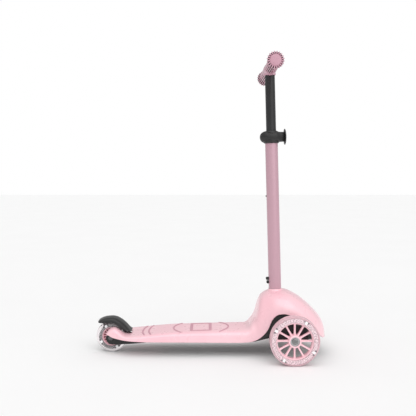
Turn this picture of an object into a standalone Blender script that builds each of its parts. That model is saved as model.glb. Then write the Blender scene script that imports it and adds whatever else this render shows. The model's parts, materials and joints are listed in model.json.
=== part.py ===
"""Three-wheeled, lean-to-steer kick scooter for a small child.

Frame: +X forward, +Y to the rider's left, +Z up, origin on the floor under the middle of the
bounding box. Tables of stations are in millimetres, measured forward from the rear axle and up
from the floor; every object is built in metres.
"""

import math

import bmesh
import bpy
from mathutils import Matrix, Vector

MM = 0.001

# Overall layout
REAR_AXLE_X = -0.253
WHEELBASE = 0.455
GAP = 0.0003

# Wheels: a toothed hub core, a light ring pressed on it and a clear tyre over that
FRONT_WHEEL = {
    "radius": 0.060,
    "width": 0.024,
    "hub": 0.016,
    "rim_in": 0.0415,
    "rim_out": 0.045,
    "ring_out": 0.0497,
    "spokes": 12,
    "spoke": 0.0046,
    "steps": 24,
}
REAR_WHEEL = {
    "radius": 0.040,
    "width": 0.022,
    "hub": 0.0145,
    "rim_in": 0.0215,
    "rim_out": 0.0245,
    "ring_out": 0.029,
    "spokes": 18,
    "spoke": 0.0022,
    "steps": 24,
}
FRONT_WHEEL_Y = 0.1195
BEARING_R = 0.011
BEARING_WIDTH = 0.007
BEARING_RECESS = 0.0028
AXLE_R = 0.004

# Deck moulding: half width, ridge height, lower edge height and fullness along the length, in mm
HALF_WIDTH = (
    (-11, 27), (0, 33), (16, 40), (35, 50), (60, 56), (90, 57.5), (330, 57.5), (365, 60),
    (400, 70), (440, 81), (475, 84), (503, 79), (521, 69), (534, 55), (541, 41), (546, 21),
)
RIDGE = (
    (-11, 52), (-6, 60), (1, 65.5), (8, 67), (16, 64.5), (25, 58), (36, 51), (48, 50), (80, 52.5),
    (102, 54.8), (127, 57.4), (160, 60), (227, 62.4), (300, 64.2), (342, 65.6), (352, 71.5), (358, 81),
    (365, 92), (370, 104), (374, 120), (380, 139), (388, 150), (403, 158), (430, 161),
    (447, 159.5), (473, 148.5), (499, 130.5), (525, 105), (538, 87), (544, 71), (546, 60),
)
LOWER_EDGE = (
    (-11, 50), (-5, 48.5), (8, 43.5), (35, 41), (60, 39.8), (103, 38.6), (230, 38), (330, 37.4),
    (354, 39.5), (366, 43.5), (378, 51), (389, 62.5), (397, 75), (402, 88), (407, 99),
    (414, 107.5), (423, 113), (436, 115), (450, 112.5), (466, 106), (482, 96.5), (497, 86),
    (512, 73), (526, 59), (536, 49.5), (546, 47),
)
FULLNESS = (
    (-11, 3.0), (30, 4.0), (60, 6.0), (330, 6.0), (352, 4.0), (372, 2.5), (430, 2.3), (546, 2.3),
)
TRAY_BOTTOM = (
    (114, 34.5), (200, 36), (350, 35.5),
    (366, 36.5), (380, 40), (392, 43.5), (402, 45), (426, 45), (430, 88), (480, 88),
    (484, 45), (505, 45.5), (524, 50),
)
SHELL_WALL = 0.0026
TRAY_WALL = 0.0028
TRAY_INSET = 5.0
TRAY_LIP = 6.0
TRAY_FULLNESS = 7.0
SCREW_PLACES = ((131.7, 0.0373), (131.7, -0.0373), (276.7, 0.0373), (276.7, -0.0373))
INLAY = 0.0009
FRAME_X = (204, 256)
FRAME_Y = (-0.036, 0.038)
FRAME_BAR = 8.0
FRAME_RAIL = 0.0036
SLOT_HALF = 0.0133
SLOT_FRONT = 52.0
FORK_HALF = 0.0222

# Steering truck: the beam turns on a kingpin that slopes up towards the front
PIVOT = (452.0, 62.0)
PIVOT_RISE = math.radians(35)
TRUCK_HUB_R = 0.012
TRUCK_HUB_HALF = 0.009
BUSH_LENGTH = 0.004
KINGPIN_R = 0.004

# Stem: leans back a little; heights along it start at the floor
STEM_FOOT_X = 426.0
STEM_LEAN = math.atan(0.0302)
STEM_BOTTOM = 0.096
STEM_TOP = 0.558
STEM_R = 0.016
STEM_BORE_R = 0.0132
MAST_R = 0.0125
MAST_BOTTOM = 0.330
MAST_TOP = 0.716
COLLAR_BOTTOM = 0.5355
COLLAR_TOP = 0.5675
BAR_HEIGHT = 0.7203
BAR_HALF = 0.1345
GRIP_R = 0.0152
GRIP_FLANGE_R = 0.0208
GRIP_START = 0.024

# Brake fender
BRAKE_HINGE = (44.0, 49.5)
BRAKE_HALF = 0.022
BRAKE_WALL = 0.0028
BRAKE_RIDGE = (
    (-33, 81.2), (-23.5, 86.2), (-13, 89), (0, 90), (11, 88.3), (21, 83.4), (31, 76.5), (39, 68.8),
    (46, 60.5), (51.5, 55.4),
)
BRAKE_SKIRT = (
    (-30.5, 78.2), (-22, 77.2), (-11, 78), (0, 78.2), (8, 77), (15, 73.4), (22, 67.8), (28, 62.2),
    (35, 58.4), (45.5, 56.6),
)

PINK = (1.0, 0.60, 0.66)
MAUVE = (0.60, 0.36, 0.43)
DUSKY = (0.72, 0.40, 0.47)
BLACK = (0.018, 0.018, 0.019)
GREY = (0.20, 0.20, 0.20)
STEEL = (0.55, 0.55, 0.56)
CLEAR = (0.85, 0.80, 0.81)
WHITE = (0.88, 0.88, 0.90)


# ------------------------------------------------------------------ general helpers


def fwd(station):
    """World X of a station in millimetres ahead of the rear axle."""
    return REAR_AXLE_X + station * MM


def smooth(rail, x):
    """Value at x of the monotone cubic through the rail's (x, value) points."""
    if x <= rail[0][0]:
        return rail[0][1]
    if x >= rail[-1][0]:
        return rail[-1][1]
    grades = [(b[1] - a[1]) / (b[0] - a[0]) for a, b in zip(rail, rail[1:])]
    slopes = [grades[0]]
    for left, right in zip(grades, grades[1:]):
        level = left * right <= 0
        slopes.append(0.0 if level else 2 * left * right / (left + right))
    slopes.append(grades[-1])
    i = max(k for k in range(len(rail) - 1) if rail[k][0] <= x)
    (x0, v0), (x1, v1) = rail[i], rail[i + 1]
    h = x1 - x0
    t = (x - x0) / h
    start = v0 * (1 + 2 * t) * (1 - t) ** 2 + slopes[i] * h * t * (1 - t) ** 2
    end = v1 * t * t * (3 - 2 * t) + slopes[i + 1] * h * t * t * (t - 1)
    return start + end


def clear_scene():
    for obj in list(bpy.data.objects):
        bpy.data.objects.remove(obj)
    for group in list(bpy.data.collections):
        bpy.data.collections.remove(group)


def new_collection(name):
    group = bpy.data.collections.new(name)
    bpy.context.scene.collection.children.link(group)
    return group


def make_material(name, colour, roughness, metallic=0.0):
    material = bpy.data.materials.new(name)
    material.use_nodes = True
    shader = material.node_tree.nodes["Principled BSDF"]
    shader.inputs["Base Color"].default_value = (*colour, 1.0)
    shader.inputs["Roughness"].default_value = roughness
    shader.inputs["Metallic"].default_value = metallic
    material.diffuse_color = (*colour, 1.0)
    return material


def axis_empty(name, origin, direction=(0, 0, 1), parent=None):
    """An empty whose local +Z points along direction, to hang pieces on a joint's axis."""
    empty = bpy.data.objects.new(name, None)
    PARTS.objects.link(empty)
    empty.parent = parent
    empty.location = origin
    empty.rotation_mode = "QUATERNION"
    empty.rotation_quaternion = Vector(direction).to_track_quat("Z", "Y")
    return empty


def add_object(name, data, material=None, parent=None, offset=(0, 0, 0)):
    obj = bpy.data.objects.new(name, data)
    PARTS.objects.link(obj)
    obj.parent = parent
    obj.location = offset
    if material is not None:
        data.materials.append(material)
    return obj


def mesh_object(name, bm, material=None, parent=None, offset=(0, 0, 0)):
    mesh = bpy.data.meshes.new(name)
    bm.to_mesh(mesh)
    bm.free()
    return add_object(name, mesh, material, parent, offset)


def turned(name, profile, material, parent=None, offset=(0, 0, 0), steps=24, closed=True):
    """Turns a profile of (radius, height) points about local Z; it runs down its outer side."""
    bm = bmesh.new()
    ring = [bm.verts.new((radius, 0, height)) for radius, height in profile]
    for a, b in zip(ring, ring[1:]):
        bm.edges.new((a, b))
    if closed:
        bm.edges.new((ring[-1], ring[0]))
    obj = mesh_object(name, bm, material, parent, offset)
    screw = obj.modifiers.new("Turn", "SCREW")
    screw.angle = math.tau
    screw.steps = steps
    screw.render_steps = steps
    screw.use_merge_vertices = True
    screw.merge_threshold = 0.00005
    screw.use_smooth_shade = True
    return obj


def tube(name, outer, inner, low, high, material, parent=None, offset=(0, 0, 0), steps=24):
    profile = [(outer, high), (outer, low), (inner, low), (inner, high)]
    return turned(name, profile, material, parent, offset, steps)


def rod(name, radius, low, high, material, parent=None, offset=(0, 0, 0), steps=20):
    profile = [(0, high), (radius, high), (radius, low), (0, low)]
    return turned(name, profile, material, parent, offset, steps, closed=False)


def box(name, low, high, material=None, parent=None, bevel=0.0):
    bm = bmesh.new()
    size = [b - a for a, b in zip(low, high)]
    bmesh.ops.create_cube(bm, size=1.0, matrix=Matrix.Diagonal((*size, 1.0)))
    centre = [(a + b) / 2 for a, b in zip(low, high)]
    obj = mesh_object(name, bm, material, parent, centre)
    if bevel:
        rounding = obj.modifiers.new("Edges", "BEVEL")
        rounding.width = bevel
        rounding.segments = 1
    return obj


def cylinder(name, radius, length, origin, direction, parent=None, segments=24):
    """A plain cylinder centred at origin, used for cutting and joining."""
    bm = bmesh.new()
    bmesh.ops.create_cone(
        bm, cap_ends=True, segments=segments, radius1=radius, radius2=radius, depth=length
    )
    obj = mesh_object(name, bm, None, parent, origin)
    obj.rotation_mode = "QUATERNION"
    obj.rotation_quaternion = Vector(direction).to_track_quat("Z", "Y")
    return obj


def plate(name, outlines, thickness, material=None, parent=None, offset=(0, 0, 0)):
    """Flat closed outlines in local XY, thickened about z = 0, as a welded mesh."""
    curve = bpy.data.curves.new(name, "CURVE")
    curve.dimensions = "2D"
    curve.fill_mode = "BOTH"
    curve.extrude = thickness / 2
    for outline in outlines:
        spline = curve.splines.new("POLY")
        spline.points.add(len(outline) - 1)
        for point, (x, y) in zip(spline.points, outline):
            point.co = (x, y, 0, 1)
        spline.use_cyclic_u = True
    source = add_object(name + "_outline", curve)
    evaluated = source.evaluated_get(bpy.context.evaluated_depsgraph_get())
    mesh = bpy.data.meshes.new_from_object(evaluated)
    bm = bmesh.new()
    bm.from_mesh(mesh)
    bmesh.ops.remove_doubles(bm, verts=bm.verts, dist=0.00001)
    bm.to_mesh(mesh)
    bm.free()
    bpy.data.objects.remove(source)
    return add_object(name, mesh, material, parent, offset)


def upright_plate(name, outline, y_low, y_high, material=None):
    """A plate whose outline is given in stations: (millimetres ahead, millimetres up)."""
    points = [(fwd(x), z * MM) for x, z in outline]
    obj = plate(name, [points], y_high - y_low, material)
    obj.rotation_euler = (math.pi / 2, 0, 0)
    obj.location = (0, (y_low + y_high) / 2, 0)
    return obj


def loft(name, rows, material, outward=True):
    """A sheet through rows of points, with its first and last rows closed by a face."""
    bm = bmesh.new()
    grid = [[bm.verts.new(point) for point in row] for row in rows]
    faces = [grid[0][::-1], grid[-1]]
    for row, ahead in zip(grid, grid[1:]):
        for i in range(len(row) - 1):
            faces.append([row[i], row[i + 1], ahead[i + 1], ahead[i]])
    for corners in faces:
        bm.faces.new(corners if outward else corners[::-1])
    return mesh_object(name, bm, material)


def thicken(obj, wall):
    solid = obj.modifiers.new("Wall", "SOLIDIFY")
    solid.thickness = wall
    solid.offset = -1.0
    return obj


def combine(target, tool, operation):
    """Applies tool to target as a Boolean and moves the tool to the cutters."""
    step = target.modifiers.new(operation.title(), "BOOLEAN")
    step.operation = operation
    step.solver = "EXACT"
    step.object = tool
    PARTS.objects.unlink(tool)
    CUTTERS.objects.link(tool)
    tool.hide_render = True
    tool.display_type = "WIRE"


def cut(target, tool):
    combine(target, tool, "DIFFERENCE")


def join(target, tool):
    combine(target, tool, "UNION")


def coil_spring(name, turns, mean_r, wire_r, length, material, parent):
    """A round-wire coil along local Z, with a straight tangent leg at each end."""
    per_turn = 8
    count = turns * per_turn + 1
    points = []
    for i in range(count):
        angle = math.tau * i / per_turn
        height = length * (i / (count - 1) - 0.5)
        points.append((mean_r * math.cos(angle), mean_r * math.sin(angle), height))
    leg = 2.0 * mean_r
    points.insert(0, (mean_r, -leg, -length / 2))
    points.append((mean_r, leg, length / 2))
    curve = bpy.data.curves.new(name, "CURVE")
    curve.dimensions = "3D"
    curve.bevel_depth = wire_r
    curve.bevel_resolution = 2
    curve.use_fill_caps = True
    spline = curve.splines.new("POLY")
    spline.points.add(len(points) - 1)
    for point, place in zip(spline.points, points):
        point.co = (*place, 1)
    return add_object(name, curve, material, parent)


# ------------------------------------------------------------------ deck moulding


def hood_section(x, count=15):
    """Superellipse arch at a station, from the +Y lower edge over the ridge to the -Y one."""
    half = smooth(HALF_WIDTH, x) * MM
    edge = smooth(LOWER_EDGE, x) * MM
    rise = smooth(RIDGE, x) * MM - edge
    power = 2 / smooth(FULLNESS, x)
    row = []
    for i in range(count):
        angle = math.pi * i / (count - 1)
        across = math.cos(angle)
        y = math.copysign(abs(across) ** power, across) * half
        row.append((fwd(x), y, edge + rise * math.sin(angle) ** power))
    row[0] = (fwd(x), half, edge)
    row[-1] = (fwd(x), -half, edge)
    return row


def stations(*runs):
    """Stations from runs of (start, end, how many), each run without its end."""
    found = []
    for start, end, count in runs:
        found += [start + (end - start) * i / count for i in range(count)]
    return found + [runs[-1][1]]


def deck_shell():
    places = stations((-11, 40, 7), (40, 60, 1), (60, 342, 4), (342, 390, 10), (390, 525, 9), (525, 546, 5))
    shell = thicken(loft("deck_shell", [hood_section(x) for x in places], PINK_GLOSS), SHELL_WALL)
    slot = box("wheel_slot", (fwd(-60), -SLOT_HALF, 0), (fwd(SLOT_FRONT), SLOT_HALF, 0.12))
    cut(shell, cylinder("stem_hole", STEM_R + 2 * GAP, 0.07, (0, 0, 0.150), (0, 0, 1), STEM_AXIS))
    cut(shell, slot)
    return shell


def deck_height(x, y):
    """Height of the deck's top surface at a station and a distance from the centre line."""
    half = smooth(HALF_WIDTH, x) * MM
    edge = smooth(LOWER_EDGE, x) * MM
    rise = smooth(RIDGE, x) * MM - edge
    n = smooth(FULLNESS, x)
    return edge + rise * (1 - (abs(y) / half) ** n) ** (1 / n)


def raised_strip(name, pairs):
    """A thin raised strip that follows the deck between pairs of (station, y) edge points."""
    bm = bmesh.new()
    rows = []
    for pair in pairs:
        rows.append([bm.verts.new((fwd(x), y, deck_height(x, y) + GAP + INLAY)) for x, y in pair])
    runs = list(zip(rows, rows[1:]))
    if pairs[0] == pairs[-1]:
        runs[-1] = (rows[-2], rows[0])
        for vert in rows[-1]:
            bm.verts.remove(vert)
    for low, high in runs:
        bm.faces.new((low[0], low[1], high[1], high[0]))
    return thicken(mesh_object(name, bm, DUSKY_RUBBER), INLAY)


def bowed_strip(name, station, bow, half_length, width, count=9):
    pairs = []
    for i in range(count):
        t = -1 + 2 * i / (count - 1)
        middle = station + bow * t * t
        pairs.append(((middle - width / 2, half_length * t), (middle + width / 2, half_length * t)))
    return raised_strip(name, pairs)


def frame_pairs():
    """Outer and inner edge points round an upright-barred frame, back to the first pair."""
    (x0, x1), (y0, y1) = FRAME_X, FRAME_Y
    bar, rail = FRAME_BAR, FRAME_RAIL
    steps = 6
    pairs = []
    for k in range(steps):
        t = k / steps
        pairs.append(((x0, y0 + (y1 - y0) * t), (x0 + bar, y0 + rail + (y1 - y0 - 2 * rail) * t)))
    pairs.append(((x0, y1), (x0 + bar, y1 - rail)))
    for k in range(steps):
        t = k / steps
        pairs.append(((x1, y1 - (y1 - y0) * t), (x1 - bar, y1 - rail - (y1 - y0 - 2 * rail) * t)))
    pairs.append(((x1, y0), (x1 - bar, y0 + rail)))
    return pairs + [pairs[0]]


def deck_grips():
    """Raised foot-grip strips: two bows at the rear, then a frame between two brackets."""
    bowed_strip("foot_grip_bow_1", 80, 9, 0.046, 4.0)
    bowed_strip("foot_grip_bow_2", 96, 9, 0.046, 4.0)
    bowed_strip("foot_grip_bracket_rear", 159.5, 22, 0.047, 3.6)
    bowed_strip("foot_grip_bracket_front", 301, -25, 0.047, 3.6)
    raised_strip("foot_grip_frame", frame_pairs())


# ------------------------------------------------------------------ chassis


def tray_shape(x):
    half = (smooth(HALF_WIDTH, x) - TRAY_INSET) * MM
    top = (smooth(LOWER_EDGE, x) + TRAY_LIP) * MM
    bottom = smooth(TRAY_BOTTOM, x) * MM
    return half, top, bottom


def tray_section(x, count=11):
    """A flat-bottomed trough at a station, from its +Y lip down and up to its -Y lip."""
    half, top, bottom = tray_shape(x)
    power = 2 / TRAY_FULLNESS
    row = []
    for i in range(count):
        angle = math.pi * i / (count - 1)
        across = math.cos(angle)
        y = math.copysign(abs(across) ** power, across) * half
        row.append((fwd(x), y, top - (top - bottom) * math.sin(angle) ** power))
    row[0] = (fwd(x), half, top)
    row[-1] = (fwd(x), -half, top)
    return row


def tray_underside(x, y):
    half, top, bottom = tray_shape(x)
    return top - (top - bottom) * (1 - (abs(y) / half) ** TRAY_FULLNESS) ** (1 / TRAY_FULLNESS)


def chassis_tray():
    """Thin trough under the deck; its floor steps up into a tunnel over the steering truck."""
    places = stations((114, 350, 3), (350, 402, 6), (402, 426, 1))
    places += stations((430, 480, 2)) + stations((484, 524, 3))
    tray = thicken(loft("chassis_tray", [tray_section(x) for x in places], BLACK_PLASTIC, False), TRAY_WALL)
    for x, y in SCREW_PLACES:
        hole = (fwd(x), y, tray_underside(x, y))
        cut(tray, cylinder("screw_hole", 0.0018 + GAP, 0.02, hole, (0, 0, 1), segments=10))
    return tray


def rear_fork():
    """Solid tail of the chassis: two cheeks for the axle and an ear for the fender hinge."""
    outline = (
        (-12.5, 42.5), (-12.5, 34), (-5, 24), (12, 22), (50, 24), (75, 26), (112, 30),
        (112, 43), (47, 43), (34, 46), (26, 50), (6, 57), (-3, 52), (-6.5, 46),
    )
    fork = upright_plate("rear_fork", outline, -FORK_HALF, FORK_HALF, BLACK_PLASTIC)
    cut(fork, box("wheel_slot_low", (fwd(-60), -SLOT_HALF, 0), (fwd(42.4), SLOT_HALF, 0.10)))
    ear = (
        (43.5, 40), (49.5, 40), (49.5, 44), (47, 47), (47, 50.5), (45.4, 52.6), (42.6, 52.6), (41, 50.5),
        (41, 47), (43.5, 44.5),
    )
    join(fork, upright_plate("hinge_ear", ear, -0.0080, 0.0080))
    cut(fork, box("spring_notch", (fwd(40), -0.0050, 0.0445), (fwd(50.5), 0.0050, 0.07)))
    axle = (REAR_AXLE_X, 0, REAR_WHEEL["radius"])
    cut(fork, cylinder("axle_hole", AXLE_R + GAP, 0.08, axle, (0, 1, 0)))
    hinge = (fwd(BRAKE_HINGE[0]), 0, BRAKE_HINGE[1] * MM)
    cut(fork, cylinder("hinge_hole", 0.0020 + GAP, 0.04, hinge, (0, 1, 0), segments=12))
    return fork


def chassis_screws():
    profile = [(0, 0.0075), (0.0018, 0.0075), (0.0018, 0), (0.0036, 0), (0.0031, -0.0009), (0, -0.0011)]
    for index, (x, y) in enumerate(SCREW_PLACES):
        place = (fwd(x), y, tray_underside(x, y) - 5 * GAP)
        turned(f"chassis_screw_{index + 1}", profile, SCREW_STEEL, None, place, 8, closed=False)


def stem_socket():
    """Tower that the stem plugs into; its foot stands on the tray behind the truck tunnel."""
    socket = turned(
        "stem_socket",
        [
            (0.0195, 0.151),
            (0.0200, 0.1495),
            (0.0200, 0.0925),
            (0, 0.0925),
            (0, 0.0955),
            (STEM_R + GAP, 0.0955),
            (STEM_R + GAP, 0.151),
            (0.0195, 0.151),
        ],
        BLACK_PLASTIC,
        STEM_AXIS,
        steps=24,
        closed=False,
    )
    join(socket, box("socket_foot", (fwd(406), -0.018, 0.0484), (fwd(421.5), 0.018, 0.0945)))
    return socket


# ------------------------------------------------------------------ steering truck


def truck_mount():
    """Wedge bolted under the tunnel roof; its lower face is square to the kingpin."""
    roof = 0.088 - GAP
    mount = box("truck_mount", (fwd(438), -0.019, roof - 0.005), (fwd(476), 0.019, roof), BLACK_PLASTIC)
    face = TRUCK_HUB_HALF + BUSH_LENGTH + 2 * GAP
    wedge = box("wedge", (-0.009, -0.009, face), (0.009, 0.009, face + 0.014), None, PIVOT_AXIS)
    join(mount, wedge)
    hole = cylinder("kingpin_hole", KINGPIN_R + GAP, 0.011, (0, 0, face + 0.0045), (0, 0, 1), PIVOT_AXIS)
    cut(mount, hole)
    return mount


def kingpin():
    head = -(TRUCK_HUB_HALF + BUSH_LENGTH + 2 * GAP)
    tip = TRUCK_HUB_HALF + BUSH_LENGTH + 0.0095
    profile = [(0, tip), (KINGPIN_R, tip), (KINGPIN_R, head), (0.0085, head), (0.0085, head - 0.0016)]
    profile += [(0.0068, head - 0.0016), (0.0068, head - 0.0062), (0, head - 0.0062)]
    return turned("kingpin", profile, ZINC, PIVOT_AXIS, steps=12, closed=False)


def truck_bushes():
    for name, side in (("truck_bush_upper", 1), ("truck_bush_lower", -1)):
        ends = sorted((side * (TRUCK_HUB_HALF + GAP), side * (TRUCK_HUB_HALF + GAP + BUSH_LENGTH - GAP)))
        tube(name, 0.0105, KINGPIN_R + GAP, ends[0], ends[1], DARK_RUBBER, PIVOT_AXIS, steps=12)


def guard_outline(count=12):
    """Half-round guard above the beam, with a flat lower edge."""
    arc = [math.pi * k / count for k in range(count + 1)]
    rim = [(454 + 37 * math.cos(a), 57 + 36 * math.sin(a)) for a in arc]
    return rim + [(418, 53), (490, 53)]


def front_truck():
    """Cross beam with a sleeve on the kingpin, and a guard plate and threaded boss at each end."""
    beam = rod("front_truck", 0.0105, -0.104, 0.104, BLACK_PLASTIC, BEAM_AXIS, steps=16)
    join(beam, cylinder("beam_boss", 0.0068, 2 * (FRONT_WHEEL_Y - 0.0111), (0, 0, 0), (0, 0, 1), BEAM_AXIS))
    join(beam, box("beam_web", (fwd(446), -0.050, 0.052), (fwd(464), 0.050, 0.073), bevel=0.003))
    for low in (-0.1020, 0.0990):
        join(beam, upright_plate("wheel_guard", guard_outline(), low, low + 0.0030))
    join(beam, cylinder("beam_sleeve", TRUCK_HUB_R, 2 * TRUCK_HUB_HALF, (0, 0, 0), (0, 0, 1), PIVOT_AXIS))
    for name, side in (("clear_upper", 1), ("clear_lower", -1)):
        middle = side * (TRUCK_HUB_HALF + 0.010)
        cut(beam, cylinder(name, 0.0135, 0.020, (0, 0, middle), (0, 0, 1), PIVOT_AXIS))
    cut(beam, cylinder("pin_bore", KINGPIN_R + GAP, 0.06, (0, 0, 0), (0, 0, 1), PIVOT_AXIS))
    for side in (-1, 1):
        cut(beam, cylinder("axle_bore", AXLE_R + GAP, 0.05, (0, 0, side * 0.1), (0, 0, 1), BEAM_AXIS))
    return beam


def front_axle(name, hub):
    """Shoulder bolt from the wheel's outer side into the beam; hub's +Z points outward."""
    under_head = FRONT_WHEEL["width"] / 2 - 0.0005 - BEARING_RECESS + GAP
    profile = [
        (0, under_head + 0.0026),
        (0.0060, under_head + 0.0026),
        (0.0078, under_head + 0.0014),
        (0.0078, under_head),
        (AXLE_R, under_head),
        (AXLE_R, -0.040),
        (0, -0.040),
    ]
    return turned(name, profile, ZINC, hub, steps=12, closed=False)


# ------------------------------------------------------------------ wheels


def wheel_windows(spec):
    """Outlines of the openings between parallel-sided spokes."""
    count = spec["spokes"]
    inner = spec["hub"] + 0.0005
    outer = spec["rim_in"]
    outlines = []
    for k in range(count):
        middle = math.tau * (k + 0.5) / count
        near = math.pi / count - math.asin(spec["spoke"] / 2 / inner)
        far = math.pi / count - math.asin(spec["spoke"] / 2 / outer)
        corners = ((inner, -near), (outer, -far), (outer * 1.004, 0), (outer, far), (inner, near))
        outlines.append([(r * math.cos(middle + a), r * math.sin(middle + a)) for r, a in corners])
    return outlines


def wheel_core(name, spec, hub):
    half = spec["width"] / 2 - 0.0005
    rim = half - 0.0015
    web = 0.0045
    seat = BEARING_R + GAP
    profile = [
        (spec["hub"], half),
        (spec["hub"], web),
        (spec["rim_in"], web),
        (spec["rim_in"], rim),
        (spec["rim_out"], rim),
        (spec["rim_out"], -rim),
        (spec["rim_in"], -rim),
        (spec["rim_in"], -web),
        (spec["hub"], -web),
        (spec["hub"], -half),
        (seat, -half),
        (seat, half),
    ]
    core = turned(name, profile, PINK_GLOSS, hub, steps=spec["steps"])
    windows = plate(name + "_windows", wheel_windows(spec), 0.016, None, hub)
    cut(core, windows)
    return core


def tyre(name, spec, hub):
    """Clear tyre with a round shoulder on each side of a slightly crowned tread."""
    half = spec["width"] / 2
    outer = spec["radius"]
    inner = spec["ring_out"] + GAP
    shoulder = 0.32 * spec["width"]
    profile = [(outer - shoulder, half)]
    swing = math.radians(45)
    radius = outer - shoulder + (shoulder - 0.0004) * math.sin(swing)
    profile.append((radius, half - shoulder * (1 - math.cos(swing))))
    profile.append((outer - 0.0004, half - shoulder))
    profile.append((outer, 0))
    profile += [(radius, -height) for radius, height in reversed(profile[:3])]
    profile += [(inner, -half + 0.0012), (inner, half - 0.0012)]
    return turned(name, profile, CLEAR_RUBBER, hub, steps=spec["steps"])


def wheel(prefix, spec, hub):
    """All the turning pieces of one wheel; hub's +Z points to the wheel's outer side."""
    half = spec["width"] / 2
    wheel_core(prefix + "_wheel_core", spec, hub)
    tyre(prefix + "_tyre", spec, hub)
    ring = half - 0.0032
    inner = spec["rim_out"] + GAP
    tube(prefix + "_light_ring", spec["ring_out"], inner, -ring, ring, LAMP_WHITE, hub, steps=spec["steps"])
    outer_face = half - 0.0005 - BEARING_RECESS
    faces = (("outer", outer_face - BEARING_WIDTH), ("inner", -outer_face))
    for side, low in faces:
        name = f"{prefix}_bearing_{side}"
        tube(name, BEARING_R, AXLE_R + GAP, low, low + BEARING_WIDTH, BEARING_STEEL, hub, steps=12)
    reach = outer_face - BEARING_WIDTH - GAP
    tube(prefix + "_spacer", 0.0062, AXLE_R + GAP, -reach, reach, ALUMINIUM, hub, steps=12)


def rear_axle():
    """Bolt across both dropouts, with its head on one side and a nut on the other."""
    cheek = FORK_HALF + GAP
    profile = [
        (0, cheek + 0.0034),
        (0.0056, cheek + 0.0034),
        (0.0066, cheek + 0.0022),
        (0.0066, cheek),
        (AXLE_R, cheek),
        (AXLE_R, -cheek - 0.0046),
        (0, -cheek - 0.0046),
    ]
    turned("rear_axle", profile, ZINC, REAR_HUB, steps=12, closed=False)
    tube("rear_axle_nut", 0.0066, AXLE_R + GAP, -cheek - 0.0038, -cheek, ZINC, REAR_HUB, steps=12)
    clearance = REAR_WHEEL["width"] / 2 - 0.0005 - BEARING_RECESS + GAP
    for name, low, high in (
        ("rear_spacer_left", -SLOT_HALF, -clearance),
        ("rear_spacer_right", clearance, SLOT_HALF),
    ):
        tube(name, 0.0060, AXLE_R + GAP, low, high, ALUMINIUM, REAR_HUB, steps=12)


# ------------------------------------------------------------------ rear brake


def brake_rows():
    """Rows across the fender, from its rear lip to its foot on the deck."""
    rows = []
    for (tx, tz), (sx, sz) in zip(BRAKE_RIDGE, BRAKE_SKIRT):
        row = []
        for y, drop in ((1.0, 1.0), (0.985, 0.45), (0.90, 0.16), (0.62, 0.04), (0.0, 0.0)):
            row.append((tx + (sx - tx) * drop, y * BRAKE_HALF, tz + (sz - tz) * drop))
        row += [(x, -y, z) for x, y, z in reversed(row[:-1])]
        rows.append([(fwd(x), y, z * MM) for x, y, z in row])
    return rows


def brake():
    rows = brake_rows()
    bm = bmesh.new()
    grid = [[bm.verts.new(point) for point in row] for row in rows]
    for row, ahead in zip(grid, grid[1:]):
        for i in range(len(row) - 1):
            bm.faces.new((row[i], row[i + 1], ahead[i + 1], ahead[i]))
    bmesh.ops.translate(bm, verts=bm.verts, vec=-Vector(BRAKE_AXIS.location))
    fender = mesh_object("brake_fender", bm, BLACK_PLASTIC)
    fender.location = BRAKE_AXIS.location
    thicken(fender, BRAKE_WALL)
    x, z = BRAKE_HINGE
    hinge = (fwd(x), 0, z * MM)
    for side in (-1, 1):
        near, far = sorted((side * 0.0083, side * 0.0126))
        foot = (hinge[0] - 0.0030, near, hinge[2] - 0.0032)
        lug = box("lug", foot, (hinge[0] + 0.0028, far, hinge[2] + 0.0084))
        join(fender, lug)
    cut(fender, cylinder("lug_hole", 0.0020 + GAP, 0.028, hinge, (0, 1, 0), segments=16))
    brake_pad()


def brake_pad():
    """Curved friction plate under the fender, a few millimetres clear of the tyre."""
    inner, outer = REAR_WHEEL["radius"] + 0.0034, REAR_WHEEL["radius"] + 0.0052
    sweep = [math.radians(75 + 8 * k) for k in range(6)]
    arc = [(inner * math.cos(a), inner * math.sin(a)) for a in sweep]
    arc += [(outer * math.cos(a), outer * math.sin(a)) for a in reversed(sweep)]
    pad = plate("brake_pad", [arc], 0.018, SCREW_STEEL)
    pad.rotation_euler = (math.pi / 2, 0, 0)
    pad.location = (REAR_AXLE_X, 0, REAR_WHEEL["radius"])
    return pad


def brake_hinge():
    rod("brake_hinge_pin", 0.0020, -0.0125, 0.0125, ZINC, BRAKE_AXIS, steps=12)
    coil_spring("brake_return_spring", 4, 0.0032, 0.00055, 0.0080, SPRING_STEEL, BRAKE_AXIS)


# ------------------------------------------------------------------ stem and handlebar


def stem_tube():
    stem = tube("stem_tube", STEM_R, STEM_BORE_R, STEM_BOTTOM, STEM_TOP, MAUVE_PAINT, STEM_AXIS, steps=24)
    cut(stem, box("button_window", (-0.020, -0.0046, 0.1762), (-0.010, 0.0046, 0.1942), None, STEM_AXIS))
    cut(stem, cylinder("pin_hole", 0.0021, 0.012, (-0.0145, 0, 0.402), (1, 0, 0), STEM_AXIS, 12))
    return stem


def release_button():
    """Two-lobed latch button that is pushed into the stem's rear window."""
    low, high = (-0.0228, -0.0042, 0.1766), (-0.0118, 0.0042, 0.1938)
    button = box("release_button", low, high, BLACK_PLASTIC, STEM_AXIS, 0.0012)
    cut(button, cylinder("button_waist", 0.0016, 0.02, (-0.0232, 0, 0.1852), (0, 1, 0), STEM_AXIS, 12))
    return button


def height_stop_pin():
    profile = [(0, 0.0185), (0.0022, 0.0182), (0.0024, 0.0165)]
    profile += [(0.0018, 0.0165), (0.0018, 0.0137), (0, 0.0137)]
    return turned("height_stop_pin", profile, ZINC, REAR_PIN_AXIS, steps=8, closed=False)


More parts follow.
